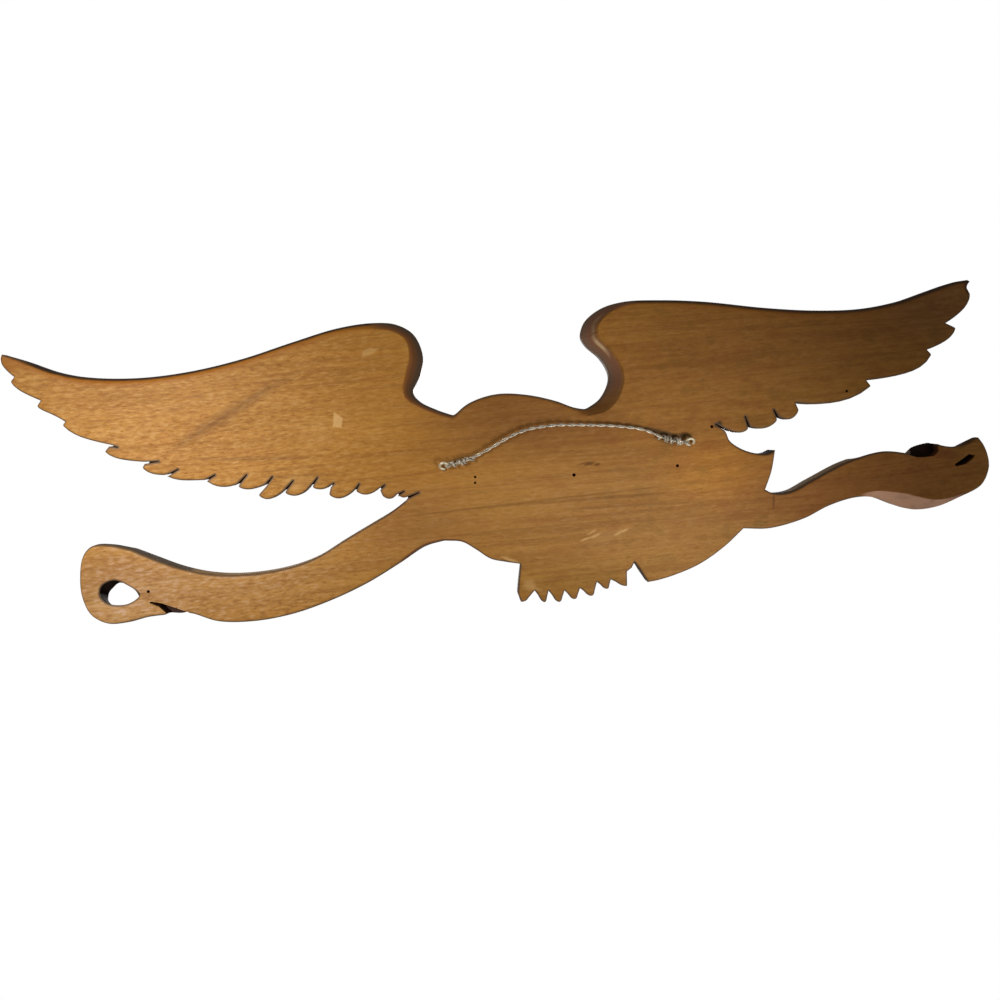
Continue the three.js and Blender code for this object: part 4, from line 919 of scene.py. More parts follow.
def band(places, line, reach=RIBBON_REACH):
    """A length of ribbon whose middle lies lower than its edges."""
    path = curve(np.array(line, float), per_span=8)
    far, which, share = to_segments(places, path[:, :2], closed=False)
    middle = path[which, 2] * (1 - share) + path[which + 1, 2] * share
    height = middle + RIBBON_HOLLOW * ((far / reach) ** 2 - 0.4)
    at_end = ((which == 0) & (share <= 0)) | ((which == len(path) - 2) & (share >= 1))
    return np.where((far < reach) & ~at_end, height, NOWHERE)


def front_height(places):
    """The height of the carved front above the flat back, at each place."""
    body = soft_top([mound(places, SHOULDER_RIGHT, 11), mound(places, SHOULDER_LEFT, 11)], 0.8)
    breast = mound(places, BODY, 10.5)
    head = soft_top([mound(places, NECK_AND_HEAD, 7), mound(places, BEAK)], 0.5)
    thighs = [mound(places, THIGH_RIGHT, 7.5), mound(places, THIGH_LEFT, 7.5)]
    toes = [mound(places, toe) for toe in TOES]
    feathers = wing(places, LOBES_RIGHT, [], 1) + wing(places, LOBES_LEFT, EXTRA_TIPS_LEFT, -1)
    for tip_x, tip_y, _, _ in TAIL_TEETH:
        root = np.array((-8 + (tip_x + 8) * 0.4, -76))
        tip = root + (np.array((tip_x, tip_y)) - root) * 1.03
        feathers.append(feather(places, root, tip, 6.2, 13.5, 1, quill=1.1, comb=0.4))
    ribbons = [band(places, RIBBON_RIGHT), band(places, RIBBON_LEFT), band(places, RIBBON_END)]
    height = np.maximum.reduce([*feathers, body, shield(places), soft_top([breast, *thighs], 0.5)])
    height = np.maximum.reduce([height, *ribbons, mound(places, CURL_ROLL), head, *toes])
    height = np.maximum(height, mound(places, BROW))
    eye = np.linalg.norm(places - EYE_PLACE, axis=1)
    height -= 1.1 * np.exp(-(((eye - 4.4) / 0.9) ** 2))
    height = np.where(eye < 3.5, np.maximum(height, 21 + 1.3 * np.sqrt(np.clip(1 - (eye / 3.5) ** 2, 0, 1))), height)
    gouged = 0.25 * np.sin(places[:, 0] * 0.9 + 1.3 * np.sin(places[:, 1] * 0.5)) * np.sin(places[:, 1] * 0.8)
    return np.clip(np.maximum(height, GROUND + gouged), GROUND - 0.3, BOARD + 0.7)


def back_depth(places, far, width):
    """How deep the back lies below its flat: the softened edge, the pockets and the nail holes."""
    into = np.clip((width - far) / width, 0, 1)
    bow = np.interp(width, (2.5, 5), (1.7, 1.05))  # a wide bevel is a flat facet, a narrow one is rounded
    rounding = 1 - (1 - into**bow) ** (1 / bow)
    depth = np.clip(width * BEVEL_SLOPE, LEAST_BEVEL, MOST_BEVEL) * rounding
    hollow = np.zeros(len(places))
    for pocket in POCKETS:
        hollow = np.maximum(hollow, POCKET_DEPTH * step_up(depth_inside(places, np.array(pocket, float)), 0.3))
    for x, y, radius in PITS + pilots:
        off = radius - np.hypot(places[:, 0] - x, places[:, 1] - y)
        hollow = np.maximum(hollow, min(PIT_DEPTH, 3.5 * radius) * step_up(off, 0.25))
    return np.maximum(depth, hollow), into, hollow / POCKET_DEPTH


# %% [markdown]
# ## The board as one closed mesh
#
# Both faces share the outline, point for point. Each face is a set of points joined by a triangulation that keeps
# the outline as an edge: on the back they lie close together where something changes and far apart where it is
# flat, on the front they form an even grid. Then a wall of quads joins the two lines. A grid would be simpler, but
# it would leave the sawn outline in steps.

# %% Points of the two faces
FRONT_PITCH = 1.25


def grid_inside(loops, pitch):
    """Points of a triangular grid that lie inside the outline and outside the holes."""
    line = loops[0]
    found = []
    for k, y in enumerate(np.arange(line[:, 1].min() + 0.3, line[:, 1].max(), pitch * math.sqrt(0.75))):
        crossings = []
        for loop in loops:
            after = np.roll(loop, -1, axis=0)
            hit = (loop[:, 1] > y) != (after[:, 1] > y)
            a, b = loop[hit], after[hit]
            crossings.append(a[:, 0] + (y - a[:, 1]) * (b[:, 0] - a[:, 0]) / (b[:, 1] - a[:, 1]))
        ends = np.sort(np.concatenate(crossings))
        x = np.arange(line[:, 0].min() + (k % 2) * pitch / 2, line[:, 0].max(), pitch)
        x = x[np.searchsorted(ends, x) % 2 == 1]
        found.append(np.stack([x, np.full(len(x), y)], axis=1))
    return np.vstack(found)


def nearest_edge(places, loops, widths):
    """The distance from each place to the nearest sawn edge, and the softened edge's width there."""
    line = np.vstack(loops)
    after = np.vstack([np.roll(loop, -1, axis=0) for loop in loops])
    before = np.vstack([np.roll(loop, 1, axis=0) for loop in loops])
    width = np.concatenate(widths)
    tree = kdtree.KDTree(len(line))
    for i, (x, y) in enumerate(line):
        tree.insert((x, y, 0), i)
    tree.balance()
    which = np.array([tree.find((x, y, 0))[1] for x, y in places])
    far = np.full(len(places), np.inf)
    for other in (after, before):
        run = other[which] - line[which]
        t = np.clip(((places - line[which]) * run).sum(axis=1) / (run**2).sum(axis=1), 0, 1)
        far = np.minimum(far, np.linalg.norm(places - line[which] - run * t[:, None], axis=1))
    return far, width[which]


def inward_rows(loops, widths):
    """Points in rows inside every edge, closer together near it, for the softened edge's curve."""
    rows = []
    for loop, width in zip(loops, widths):
        ahead = unit(np.roll(loop, -1, axis=0) - np.roll(loop, 1, axis=0))
        inward = np.stack([-ahead[:, 1], ahead[:, 0]], axis=1)
        levels = 3 + (width / 1.6).astype(int)
        for i, (point, count) in enumerate(zip(loop, levels)):
            for k in range(1, count + 1):
                distance = width[i] * (k / count) ** 1.25 + 0.02
                rows.append((*(point + inward[i] * distance), distance))
            for distance in (width[i] + 1.4, width[i] + 3) if width[i] > 2 else ():
                rows.append((*(point + inward[i] * distance), distance))
    rows = np.array(rows)
    far, _ = nearest_edge(rows[:, :2], loops, widths)
    return rows[far > rows[:, 2] * 0.93, :2]


def ring_points(loop, offsets, step):
    """Points along a closed line and along copies of it moved inwards by each offset."""
    line = evenly(loop, step, closed=True)
    ahead = unit(np.roll(line, -1, axis=0) - np.roll(line, 1, axis=0))
    inward = np.stack([-ahead[:, 1], ahead[:, 0]], axis=1)
    turned = sum(ax * by - bx * ay for (ax, ay), (bx, by) in zip(line, np.roll(line, -1, axis=0)))
    return np.vstack([line + inward * offset * (1 if turned > 0 else -1) for offset in offsets])


def triangulated(loops, loose):
    """Triangles over the loops' points and the loose ones, kept inside the outline and outside the holes."""
    points = np.vstack([*loops, loose])
    edges, start = [], 0
    for loop in loops:
        edges += [(start + i, start + (i + 1) % len(loop)) for i in range(len(loop))]
        start += len(loop)
    made = delaunay_2d_cdt([Vector(p) for p in points], edges, [], 0, 1e-5)
    source = np.array([ids[0] if ids else -1 for ids in made[3]])
    assert source.min() >= 0, "an edge was split"
    triangles = source[np.array(made[2])]
    rim = (triangles < start).all(axis=1)
    middle = points[triangles[rim]].mean(axis=1)
    keep = inside(middle, loops[0])
    for hole in loops[1:]:
        keep &= ~inside(middle, hole)
    triangles = np.vstack([triangles[~rim], triangles[rim][keep]])
    a, b, c = (points[triangles[:, k]] for k in range(3))
    flipped = (b - a)[:, 0] * (c - a)[:, 1] - (b - a)[:, 1] * (c - a)[:, 0] < 0
    triangles[flipped] = triangles[flipped][:, ::-1]
    return points, triangles


def front_edge(line):
    """The outline on the carved side: saw cuts don't reach it, and one edge of the ribbon leans inwards."""
    edge = line.copy()
    for end_x, end_y, mouth_x, mouth_y, *_ in LOBES_RIGHT + LOBES_LEFT:
        cut = np.array([(end_x, end_y), (mouth_x, mouth_y)], float)
        if np.linalg.norm(cut[1] - cut[0]) > 1:
            beside = np.flatnonzero(to_segments(line, cut, closed=False)[0] < SLIT_MOUTH / 2 + 0.03)
            first, last = beside[0], beside[-1]
            share = np.linspace(0, 1, last - first + 1)[:, None]
            edge[first : last + 1] = line[first] * (1 - share) + line[last] * share
    x, y = line.T
    for middle, reach, most in LEANS:
        lean = np.clip(1 - np.abs(x - middle) / reach, 0, 1) * ((y < -35) & (y > -50))
        edge[:, 1] -= most * np.minimum(lean * 3, 1)
    return edge


LEANS = [(-233, 20, 1.7), (-277, 30, 4)]  # where, how far along and how much the left ribbon's edge leans inwards
back_loops = [edge_line[:, :2], hole_back]
front_loops = [front_edge(edge_line[:, :2]), hole_front]
widths = [edge_line[:, 2], np.full(len(hole_back), HOLE_EDGE)]
pocket_points = [ring_points(np.array(p, float), (0.0, 0.32, 1.2, 2.4), 0.8) for p in POCKETS]
pit_points = [
    np.array((x, y)) + r * np.array((math.cos(a), math.sin(a)))
    for x, y, radius in PITS + pilots
    for r in (radius + 0.02, radius - 0.27, radius * 0.4)
    for a in np.linspace(0, 2 * math.pi, 14, endpoint=False)
]
fine = grid_inside(back_loops, 1.7)
far, width = nearest_edge(fine, back_loops, widths)
fine = fine[(far > 0.6) & (far > width) & (far < 8)]
rows = inward_rows(back_loops, widths)
loose_back = np.vstack([rows, *pocket_points, pit_points, fine, grid_inside(back_loops, 6)])
far, width = nearest_edge(loose_back, back_loops, widths)
ok = inside(loose_back, edge_line[:, :2]) & ~inside(loose_back, hole_back) & (far > 0.03)
back_points, back_faces = triangulated(back_loops, loose_back[ok])
loose_front = grid_inside(front_loops, FRONT_PITCH)
far, width = nearest_edge(loose_front, front_loops, widths)
front_points, front_faces = triangulated(front_loops, loose_front[far > 0.55])
print("back:", len(back_points), "points,", len(back_faces), "triangles")
print("front:", len(front_points), "points,", len(front_faces), "triangles")

# %% [markdown]
# ## Mahogany, sanded and varnished
#
# The back is bare mahogany under one thin coat: golden brown, with short dark pores along the grain, broad soft
# streaks and a few marks of its life. The sides and the front have a darker, redder varnish that ran over the edge.
# The colour also carries painted light and shade: walls, bands and bevels darker where they face away from the
# lamp and paler where they catch it, near-black pockets and holes, and shadows round the wire's wound ends.
# A wood texture could be one wave pattern; real mahogany is several things at different sizes, so each is its own
# few lines here and can be tuned alone.


# %% Grain
def patch(place, x, z, across, high, lean=0.0, soft=0.5, ragged=0.25, seed=0.0):
    """A mask with soft, uneven edges round a place on the board; across and high are its half sizes."""
    rel = place - (x, 0.0, z)
    settings = {"rotation_type": "Y_AXIS"}
    turned = rel.node("ShaderNodeVectorRotate", settings, {"Vector": rel, "Angle": math.radians(lean)})
    flat = turned * (1 / across, 0.0, 1 / high)
    length = flat.node("ShaderNodeVectorMath", {"operation": "LENGTH"}, {0: flat}, output=1)
    if ragged:
        wander = place.noise((across * 0.7, 5.0, high * 0.7), detail=3, seed=seed + x * 0.01)
        length = length + (wander - 0.5) * ragged * 4
    return length.between(1 + soft, 1 - soft)


def facet(place, corners, soft):
    """A mask with straight sides over a convex outline on the board."""
    turned = sum(ax * bz - bx * az for (ax, az), (bx, bz) in zip(corners, corners[1:] + corners[:1]))
    mask = None
    for (ax, az), (bx, bz) in zip(corners, corners[1:] + corners[:1]):
        inwards = unit((az - bz, bx - ax)) * math.copysign(1, turned)
        toward = {0: place - (ax, 0.0, az), 1: (inwards[0], 0.0, inwards[1])}
        side = place.node("ShaderNodeVectorMath", {"operation": "DOT_PRODUCT"}, toward, output=1).between(-soft, soft)
        mask = side if mask is None else mask.least(side)
    return mask


def grain(place):
    """The grain's parts: a slow drift, streaks, fine lines, pores, flecks and a blotchy cloud."""
    drift = place.noise((260, 60, 42), detail=2, roughness=0.5)
    bend = place + (drift - 0.5) * (0.0, 0.0, 14.0)
    streak = bend.noise((85, 14, 3.6), detail=4, roughness=0.5, seed=3.0)
    line = bend.noise((70, 4, 1.3), detail=3, roughness=0.6, seed=7.0)
    pore = bend.noise((3.6, 0.9, 0.6), detail=1.5, roughness=0.5, seed=11.0)
    pores = pore.between(0.59, 0.7) * bend.noise((70, 10, 9), detail=2, seed=15.0).between(0.3, 0.62, 0.35, 1.0)
    fleck = bend.noise((5.5, 4, 1.5), detail=2.5, roughness=0.6, seed=19.0)
    cloud = place.noise((17, 12, 10), detail=3.5, roughness=0.6, seed=23.0)
    return drift, streak, line, pores, fleck, cloud


GOLD = colour_of(192, 134, 54)
BROWN = colour_of(150, 94, 34)
DARK = colour_of(90, 52, 20)
PALE = colour_of(224, 178, 112)
REDDISH = colour_of(146, 78, 32)
OLIVE = colour_of(138, 100, 36)
ORANGE = colour_of(164, 98, 26)
# Near the sawn edge: a grey-brown line, partly varnish run over the edge and partly painted shade, and a darker painted
# shade for the bevels of the upper edges.
EDGE_VARNISH_AND_SHADE = colour_of(104, 84, 66)
EDGE_PAINTED_SHADE = colour_of(58, 44, 35)
VARNISH = colour_of(74, 44, 28)
PALE_MARKS = [  # x, z, half sizes, lean and strength of worn and knocked places
    (-24, -79.2, 3.6, 0.7, -16, 0.75), (-31, -77.6, 4, 0.8, -18, 0.8), (-29, -74.8, 3, 0.6, -24, 0.6),
    (-46.5, -77.6, 2.6, 0.7, -22, 0.75), (-51, -76, 2.8, 0.8, -14, 0.75), (17, -107, 4, 3.6, 20, 0.42), (13, -110, 5, 1.4, 26, 0.3),
    (28, -88.8, 6.4, 1.1, 26, 0.7), (-40, -79, 14, 4, -10, 0.16), (150, 10, 10, 9, 0, 0.1), (165, -22, 12, 5, 0, 0.16),
]
DARK_MARKS = [
    (-31.5, -28, 3.6, 1.0, -8, 0.7), (-36.5, -29, 2, 0.9, -8, 0.65), (-28, -27.4, 5, 0.5, -6, 0.5),
    (-47, 2, 14, 6, 20, 0.2), (-155.5, -67, 0.9, 5, 6, 0.45), (28, -91, 7, 1, 26, 0.5),
    (205, 30, 42, 4.2, -26, 0.3), (208, 28.5, 36, 1.1, -27, 0.24), (190, -3, 40, 1.2, 5, 0.25), (165, -17, 30, 1, 4, 0.2),
    (-22, -52, 60, 1.1, 1, 0.28), (10, -50, 90, 0.8, -1, 0.3), (-70, -60, 50, 1, 2, 0.22), (30, -68, 40, 0.8, 0, 0.2),
]
# Dark greenish marks: the first five lie round the wire's wound ends and are painted shadow of the turns, with some
# tarnish; the last lies at the inner end of a saw cut.
WIRE_SHADOWS_AND_STAINS = [
    (-86, -13.4, 8, 2, 24, 0.8), (-76, -9, 5, 1.2, 24, 0.65), (-97, -15.2, 5, 1.7, 6, 0.75), (58, -16.4, 5, 0.9, -8, 0.5),
    (-84, -18.2, 7, 1.2, 22, 0.4), (-121.6, -9.9, 2.6, 1.7, -30, 0.9),
]
# Broad tones. The darker, redder neck is the wood's own colour; the darker left wing and its tip are painted shade, and
# the paler, greyer ribbons and curl are painted sheen.
TONES_AND_PAINTED_LIGHT = [  # x, z, half sizes, lean and how much lighter or darker red, green and blue are there
    (12, 10, 56, 24, 0, (0.69, 0.65, 0.82)), (-160, 40, 140, 50, 0, (0.8, 0.75, 0.96)),
    (-285, 62, 55, 26, 20, (0.88, 0.88, 1.35)), (-118, -42, 28, 18, 0, (1.3, 1.25, 1.0)),
    (-240, -60, 85, 26, 0, (0.96, 0.84, 1.2)), (-20, -62, 95, 46, 0, (1.0, 1.06, 1.6)),
    (240, -84, 95, 28, 0, (1.0, 1.12, 2.0)), (95, -55, 34, 20, 0, (0.84, 0.82, 1.0)),
    (-15, -106, 46, 10, 0, (0.88, 0.9, 0.84)), (300, -99, 30, 9, 10, (1.2, 1.28, 1.5)),
    (297, -83, 34, 30, 0, (1.0, 1.06, 1.4)),
]


def sanded_back():
    material, place, set_to = finish("sanded_mahogany", Specular_IOR_Level=0.18)
    drift, streak, line, pores, fleck, cloud = grain(place)
    x, z = (place.node("ShaderNodeSeparateXYZ", None, {0: place}, output=k) for k in (0, 2))
    near, edge, hollow = (
        place.node("ShaderNodeAttribute", {"attribute_name": name}, output=2) for name in ("near", "edge", "hollow")
    )
    lively = x.between(60, 200, 0.35, 1.0)  # the right wing and ribbon have more figure
    gold = place.node("ShaderNodeRGB")
    gold.socket.default_value = GOLD
    colour = gold.toward(BROWN, drift.between(0.35, 0.68) * 0.3 + streak.between(0.42, 0.66) * 0.32)
    colour = colour.toward(DARK, line.between(0.5, 0.72) * 0.2)
    colour = colour.toward(PALE, fleck.between(0.5, 0.7) * lively * 0.36)
    colour = colour.toward(BROWN, fleck.between(0.5, 0.3) * lively * 0.75)
    colour = colour.toward(REDDISH, cloud.between(0.5, 0.7) * x.between(60, -60, 0.1, 0.3))
    colour = colour.toward(OLIVE, cloud.between(0.48, 0.3) * x.between(0, -90, 0.1, 0.4))
    colour = colour.toward(DARK, pores * 0.2)
    # Broad tones, with painted shade on the left wing and painted sheen on the ribbons and curl.
    for mark_x, mark_z, across, high, lean, gain in TONES_AND_PAINTED_LIGHT:
        colour = colour.toward(colour * gain, patch(place, mark_x, mark_z, across, high, lean, soft=0.9, ragged=0))
    for k, (mark_x, mark_z, across, high, lean, share) in enumerate(PALE_MARKS):
        colour = colour.toward(PALE, patch(place, mark_x, mark_z, across, high, lean, seed=float(k)) * share)
    for corners, soft, share in (
        ([(108.3, 63.4), (103, 62.4), (107.8, 59.3), (114.6, 57.8), (113.9, 61.6)], 1.0, 0.42),
        ([(137.3, 23.3), (131.9, 18.6), (133.5, 12.1), (139.1, 13.6)], 0.6, 0.75),
    ):
        colour = colour.toward(PALE, facet(place, corners, soft) * share)
    for k, (mark_x, mark_z, across, high, lean, share) in enumerate(DARK_MARKS):
        colour = colour.toward(DARK, patch(place, mark_x, mark_z, across, high, lean, seed=20.0 + k) * share)
    # Painted shadow round the wire's wound ends, with some tarnish, and one dark mark at a saw cut.
    for k, (mark_x, mark_z, across, high, lean, share) in enumerate(WIRE_SHADOWS_AND_STAINS):
        shadow_and_stain = patch(place, mark_x, mark_z, across, high, lean, soft=0.7, seed=60.0 + k)
        colour = colour.toward(colour_of(48, 46, 30), shadow_and_stain * share)
    rub = (place.noise((9, 9, 9), detail=3, seed=31.0) - 0.5) * 0.08
    lead = (z - ((x - 300.0).most(0.0) * 0.42 + (-270.0 - x).most(0.0) * 0.4 + 50.0)).between(-1.5, 1.5)
    colour = colour.toward(ORANGE, (near + rub * 3).between(0.12, 0.62) * lead * x.between(-40, 60, 0.3, 0.7))
    # Painted shade: a dark band along the wings' upper edges, whose bevels face away from the lamp, and a grey-brown
    # line round every edge that is partly varnish.
    left_wing_edge_shade = (near + rub).between(0.6, 0.85) * x.between(0, -40) * 0.7
    colour = colour.toward(EDGE_VARNISH_AND_SHADE, (near + rub).between(0.8, 0.93) * 0.8)
    colour = colour.toward(EDGE_PAINTED_SHADE, left_wing_edge_shade * lead)
    colour = colour.toward(EDGE_PAINTED_SHADE, (near + rub).between(0.7, 0.86) * x.between(0, 40) * x.between(346, 330) * lead * 0.9)
    # Painted shade on the right wing's wide shoulder bevel, which faces away from the lamp: a reddish stripe darkening
    # to grey-brown.
    right_shoulder_painted_shade = x.between(110, 96) * x.between(52, 62) * (edge + rub).between(0.02, 0.12)
    # Painted sheen on the left wing's wide shoulder bevel, which faces the lamp: mauve-grey like a reflection, with a
    # pale painted highlight along its ridge.
    left_shoulder_painted_sheen = x.between(-76, -62) * x.between(-28, -36) * z.between(6, 30) * (edge + rub).between(0.02, 0.3)
    colour = colour.toward(colour_of(157, 98, 50), right_shoulder_painted_shade)
    colour = colour.toward(colour_of(124, 82, 48), right_shoulder_painted_shade * (edge + rub).between(0.12, 0.4))
    colour = colour.toward(colour_of(96, 76, 57), right_shoulder_painted_shade * (edge + rub).between(0.45, 0.8))
    colour = colour.toward(colour_of(151, 104, 76), left_shoulder_painted_sheen)
    colour = colour.toward(colour_of(140, 108, 86), left_shoulder_painted_sheen * (edge + rub).between(0.55, 0.85))
    # The pale line along the bevel's ridge is a painted highlight.
    painted_highlight_streak = patch(place, -47, 54, 5, 14, 0, soft=0.6) * edge.between(0.2, 0.34) * edge.between(0.56, 0.42)
    colour = colour.toward(colour_of(226, 190, 142), left_shoulder_painted_sheen * painted_highlight_streak * 0.9)
    # Painted light on the facet under the left ribbon, which faces down towards the low light: pale pink-grey.
    lens = x.between(-215, -224) * x.between(-290, -280) * z.between(-60, -64) * (edge + rub).between(0.02, 0.1)
    colour = colour.toward(colour_of(244, 186, 148), lens)
    colour = colour.toward(colour_of(196, 152, 124), lens * cloud.between(0.42, 0.62) * 0.6)
    fold = patch(place, -279, -45.5, 8, 3.2, 12, seed=70.0)
    shade = patch(place, -294, -38.6, 7, 1.4, -25, soft=0.7, seed=72.0)
    colour = colour.toward(EDGE_PAINTED_SHADE, shade * 0.7)
    colour = colour.toward(colour_of(150, 84, 50), fold * 0.5)
    # Painted shade in the hollows: the nail holes dark brown, the pockets near-black, and dark over the right pocket
    # and the tip of the fold in the left one.
    colour = colour.toward(colour_of(88, 48, 26), hollow.between(0.0, 0.25) * 0.9)
    colour = colour.toward(colour_of(34, 17, 16), hollow.between(0.6, 0.9) * 0.92)
    pocket_flap_shade = x.between(230, 240) + patch(place, -267.5, -42.6, 3.4, 2.2, 40, seed=71.0) * 0.8
    colour = colour.toward(colour_of(58, 32, 22), pocket_flap_shade * hollow.between(0.0, 0.5))
    set_to("Base Color", colour)
    set_to("Roughness", streak * 0.16 + pores * 0.2 + 0.42)
    height = streak * 0.4 + line * 0.5 - pores * 0.9 + fleck * 0.35
    set_to("Normal", place.node("ShaderNodeBump", None, {"Height": height, "Strength": 0.3, "Distance": 0.0003}))
    return material


def varnished_front():
    material, place, set_to = finish("varnished_mahogany", Specular_IOR_Level=0.5)
    drift, streak, line, pores, fleck, cloud = grain(place)
    crevice = place.node("ShaderNodeAttribute", {"attribute_name": "crevice"}, output=2)
    base = place.node("ShaderNodeRGB")
    base.socket.default_value = colour_of(112, 68, 38)
    colour = base.toward(VARNISH, streak.between(0.4, 0.68) * 0.6 + drift.between(0.4, 0.7) * 0.25)
    colour = colour.toward(colour_of(150, 98, 58), cloud.between(0.5, 0.75) * 0.2)
    colour = colour.toward(colour_of(34, 18, 10), pores * 0.55 + line.between(0.5, 0.75) * 0.2)
    # Darker in the crevices and paler on the ridges.
    colour = colour.toward(colour_of(30, 16, 9), crevice.between(0.52, 0.9) * 0.85)
    colour = colour.toward(colour_of(152, 100, 58), crevice.between(0.48, 0.2) * 0.45)
    set_to("Base Color", colour)
    set_to("Roughness", streak * 0.2 + crevice.between(0.5, 0.9) * 0.25 + 0.24)
    height = streak * 0.6 + line * 0.5 - pores + fleck * 0.2
    set_to("Normal", place.node("ShaderNodeBump", None, {"Height": height, "Strength": 0.3, "Distance": 0.0003}))
    return material


def sawn_walls():
    """The sides of the board: dull and dark, partly their finish and partly painted shade, with stretches of painted
    light and darker painted shade in the curl's hole and on the shield's top.
    """
    material, place, set_to = finish("sawn_mahogany", Specular_IOR_Level=0.15)
    drift, streak, line, pores, fleck, cloud = grain(place)
    x, z = (place.node("ShaderNodeSeparateXYZ", None, {0: place}, output=k) for k in (0, 2))
    base = place.node("ShaderNodeRGB")
    base.socket.default_value = colour_of(74, 59, 46)
    # Painted light and shade on the walls: paler on the right ribbon, round the top of the curl, on the left wing's
    # feather edges, on its shoulder and on the left ribbon's upper wall; darker in the curl's hole and on the shield's
    # top.
    hole = patch(place, 296, -87, 17, 15, soft=0.1, ragged=0)
    painted_wall_light_and_shade = [
        (x.between(104, 112) * x.between(250, 244) * z.between(-46, -49), colour_of(176, 140, 96)),
        (x.between(-116, -123) * z.between(-20, -16) * z.between(54, 49), colour_of(204, 162, 134)),
        (x.between(-76, -62) * x.between(-28, -34) * z.between(12, 18), colour_of(140, 110, 88)),
        (x.between(242, 250) * z.between(-80, -76), colour_of(108, 92, 76)),
        (hole, colour_of(38, 24, 16)),
        (x.between(-116, -119) * x.between(-190, -184) * z.between(-19, -17), colour_of(40, 27, 19)),
        (x.between(-162, -170) * x.between(-262, -250) * z.between(-64, -61) * z.between(-34, -37), colour_of(176, 142, 100)),
    ]
    colour = base
    for zone, wood in painted_wall_light_and_shade:
        colour = colour.toward(wood, zone)
    colour = colour.toward(colour_of(34, 22, 14), streak.between(0.45, 0.7) * 0.4 + fleck.between(0.5, 0.7) * 0.25)
    set_to("Base Color", colour)
    set_to("Roughness", cloud * 0.2 + hole * 0.3 + 0.5)
    return material


back_finish, front_finish, wall_finish = sanded_back(), varnished_front(), sawn_walls()
print("wood finishes:", back_finish.name, front_finish.name, wall_finish.name)

# %% [markdown]
# ## Building the eagle
#
# Now the heights turn the two flat faces into the carved front and the softened back, and the wall joins them. The
# crevices are measured on the mesh itself, as the difference between a point and its neighbours' mean, so that the
# finish can be darker in them and paler on the ridges.

# %% The eagle
WALL_ROWS = 3
RIM_REACH = 8  # the finish knows how near the edge it is within this distance


def crevices(points, faces, rounds=6):
    """How far each point lies under its surroundings: over 0.5 in a crevice, under 0.5 on a ridge."""
    a = np.concatenate([faces[:, 0], faces[:, 1], faces[:, 2]])
    b = np.concatenate([faces[:, 1], faces[:, 2], faces[:, 0]])
    count = np.bincount(a, minlength=len(points)) + np.bincount(b, minlength=len(points))
    mean = points[:, 2].copy()
    for _ in range(rounds):
        total = np.bincount(a, mean[b], len(points)) + np.bincount(b, mean[a], len(points))
        mean = 0.4 * mean + 0.6 * total / np.maximum(count, 1)
    return np.clip(0.5 + (mean - points[:, 2]) * 0.45, 0, 1)


def build_eagle():
    far, width = nearest_edge(back_points, back_loops, widths)
    rims = len(edge_line) + len(hole_back)
    far[:rims] = 0
    width[:rims] = np.concatenate(widths)
    depth, edge, hollow = back_depth(back_points, far, width)
    back = np.column_stack([back_points, depth])
    height = front_height(front_points)
    front = np.column_stack([front_points, height])
    low, high = back[:rims], front[:rims].copy()
    for start, end in ((0, len(edge_line)), (len(edge_line), rims)):
        around = np.take(high[:, 2], np.arange(-6, end - start + 6) % (end - start) + start)
        high[start:end, 2] = np.convolve(around, np.ones(13) / 13, "valid")
    front[:rims, 2] = high[:, 2] = np.maximum(high[:, 2] - 0.5, low[:, 2] + 1.5)
    cavity = crevices(front, front_faces)
    rows = [low + (high - low) * k / WALL_ROWS for k in range(1, WALL_ROWS)]
    points = np.vstack([back, front, *rows])
    at = [0] + [len(back) + len(front) + k * rims for k in range(WALL_ROWS - 1)] + [len(back)]
    faces = [back_faces[:, ::-1], front_faces + len(back)]
    rim_start = 0
    for loop in back_loops:
        here = rim_start + np.arange(len(loop))
        after = rim_start + (np.arange(len(loop)) + 1) % len(loop)
        for lower, upper in zip(at, at[1:]):
            faces.append(np.stack([here + lower, after + lower, after + upper], axis=1))
            faces.append(np.stack([here + lower, after + upper, here + upper], axis=1))
        rim_start += len(loop)
    triangles = np.vstack(faces)
    stood = np.stack([points[:, 0], -points[:, 2] - STANDOFF, points[:, 1]], axis=1) * MM
    mesh = bpy.data.meshes.new("eagle")
    mesh.from_pydata(stood.tolist(), [], triangles.tolist())
    for wood in (back_finish, front_finish, wall_finish):
        mesh.materials.append(wood)
    slots = np.full(len(triangles), 2)
    slots[: len(back_faces)] = 0
    slots[len(back_faces) : len(back_faces) + len(front_faces)] = 1
    mesh.polygons.foreach_set("material_index", slots.astype(np.int32))
    near = np.clip(1 - far / RIM_REACH, 0, 1)
    marks = {
        "edge": np.concatenate([edge, np.ones(len(points) - len(back))]),
        "near": np.concatenate([near, np.ones(len(points) - len(back))]),
        "hollow": np.concatenate([hollow, np.zeros(len(points) - len(back))]),
        "crevice": np.concatenate([np.full(len(back), 0.5), cavity, np.full(rims * (WALL_ROWS - 1), 0.5)]),
    }
    for name, values in marks.items():
        mesh.attributes.new(name, "FLOAT", "POINT").data.foreach_set("value", values.astype(np.float32))
    mesh.shade_smooth()
    mesh.set_sharp_from_angle(angle=math.radians(42))
    made = bpy.data.objects.new("eagle_of_mahogany", mesh)
    bpy.context.collection.objects.link(made)
    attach(made, "root")
    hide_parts("carved_eagle")
    print("eagle:", len(points), "points,", len(triangles), "triangles; highest carving", round(height.max(), 1), "mm")
    return made


eagle = build_eagle()

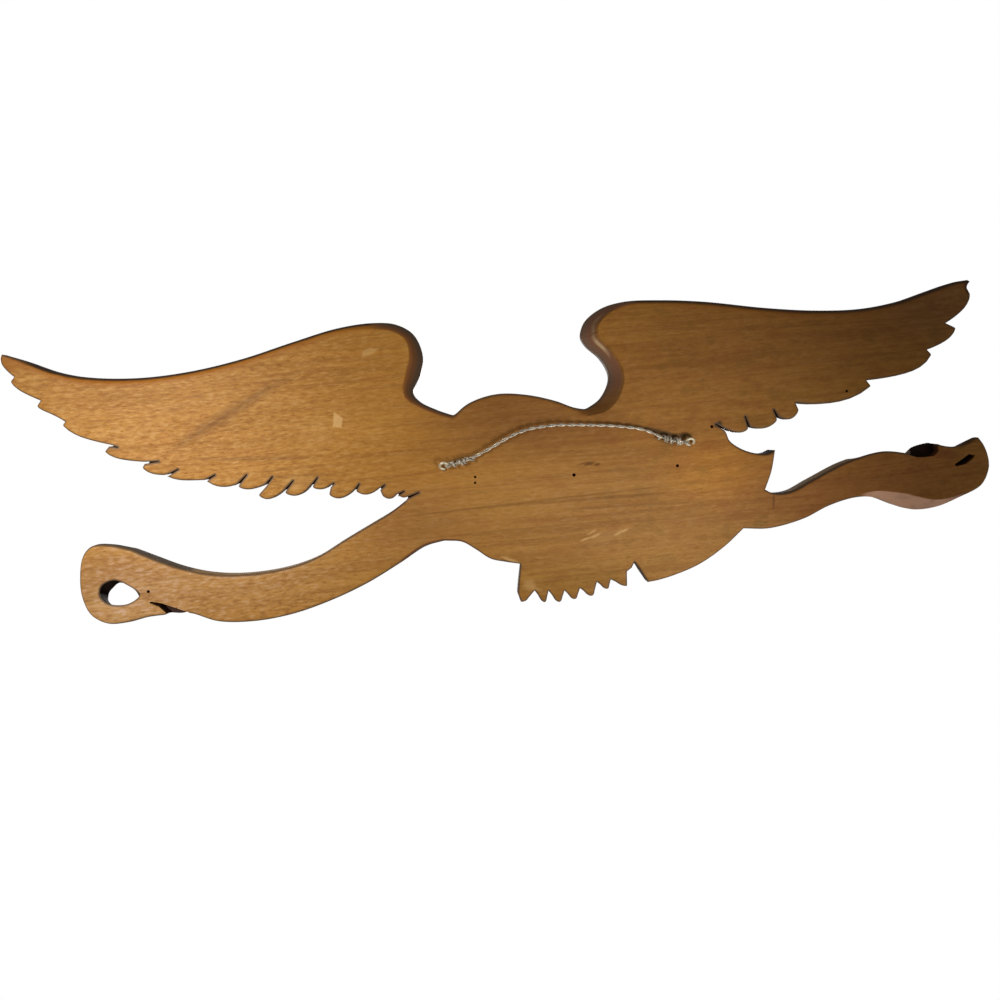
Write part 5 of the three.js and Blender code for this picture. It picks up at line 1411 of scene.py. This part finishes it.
# %% [markdown]
# ## Light and surroundings
#
# The photograph was lit from its left and a little from below, by something near: the left wing is bright and the
# far tip of the other one lies in shade. Its surroundings are plain white. A sun would light all of the flat back
# alike, so the key light is a near area lamp, which fades with the square of its distance. The room itself is dim
# and even; only the empty background that the camera looks into is white.

# %% World, lights and floor
FLOOR_DROP = 0.8
DIM = 0.16  # strength of the room's own light


def studio_world():
    world = bpy.data.worlds.new("studio")
    world.use_nodes = True
    tree = world.node_tree
    ground = tree.nodes["Background"]
    ground.inputs["Color"].default_value = (1, 1, 1, 1)
    empty = Value(tree.nodes.new("ShaderNodeLightPath").outputs["Is Camera Ray"])
    tree.links.new((empty * (1 - DIM) + DIM).socket, ground.inputs["Strength"])
    bpy.context.scene.world = world


def soft_light(name, place, target, size, power, tint=(1, 1, 1), spread=180):
    lamp = bpy.data.lights.new(name, "AREA")
    lamp.shape = "DISK"
    lamp.size = size
    lamp.energy = power
    lamp.color = tint
    lamp.spread = math.radians(spread)
    made = bpy.data.objects.new(name, lamp)
    bpy.context.collection.objects.link(made)
    made.location = place
    made.rotation_euler = (Vector(target) - Vector(place)).to_track_quat("-Z", "Y").to_euler()
    made.visible_camera = False


studio_world()
soft_light("key", (0.4, 0.45, 0.1), (0.25, 0, -0.02), 0.16, 0.3, (1.0, 0.98, 0.95), spread=60)
soft_light("low_fill", (-0.2, 0.3, -0.2), (-0.05, 0, -0.02), 0.14, 0.1, (1.0, 0.98, 0.95), spread=60)
soft_light("front_key", (-0.35, -1.3, -0.04), (0, 0, 0), 0.3, 17.0)
soft_light("front_fill", (0.45, -1.3, -0.14), (0, 0, 0), 0.4, 4.0)
bpy.context.scene.view_settings.view_transform = "Standard"

plane = bpy.data.meshes.new("floor")
left, right, near, away = -1.6, 1.6, 1.5, -0.45
plane.from_pydata([(left, away, 0), (right, away, 0), (right, near, 0), (left, near, 0)], [], [(0, 1, 2, 3)])
floor = bpy.data.objects.new("floor", plane)
floor.location = (0, 0, -FLOOR_DROP)
bpy.context.collection.objects.link(floor)
floor_finish, _, _ = finish("pale_floor", Base_Color=(0.82, 0.82, 0.81, 1), Roughness=0.8)
plane.materials.append(floor_finish)
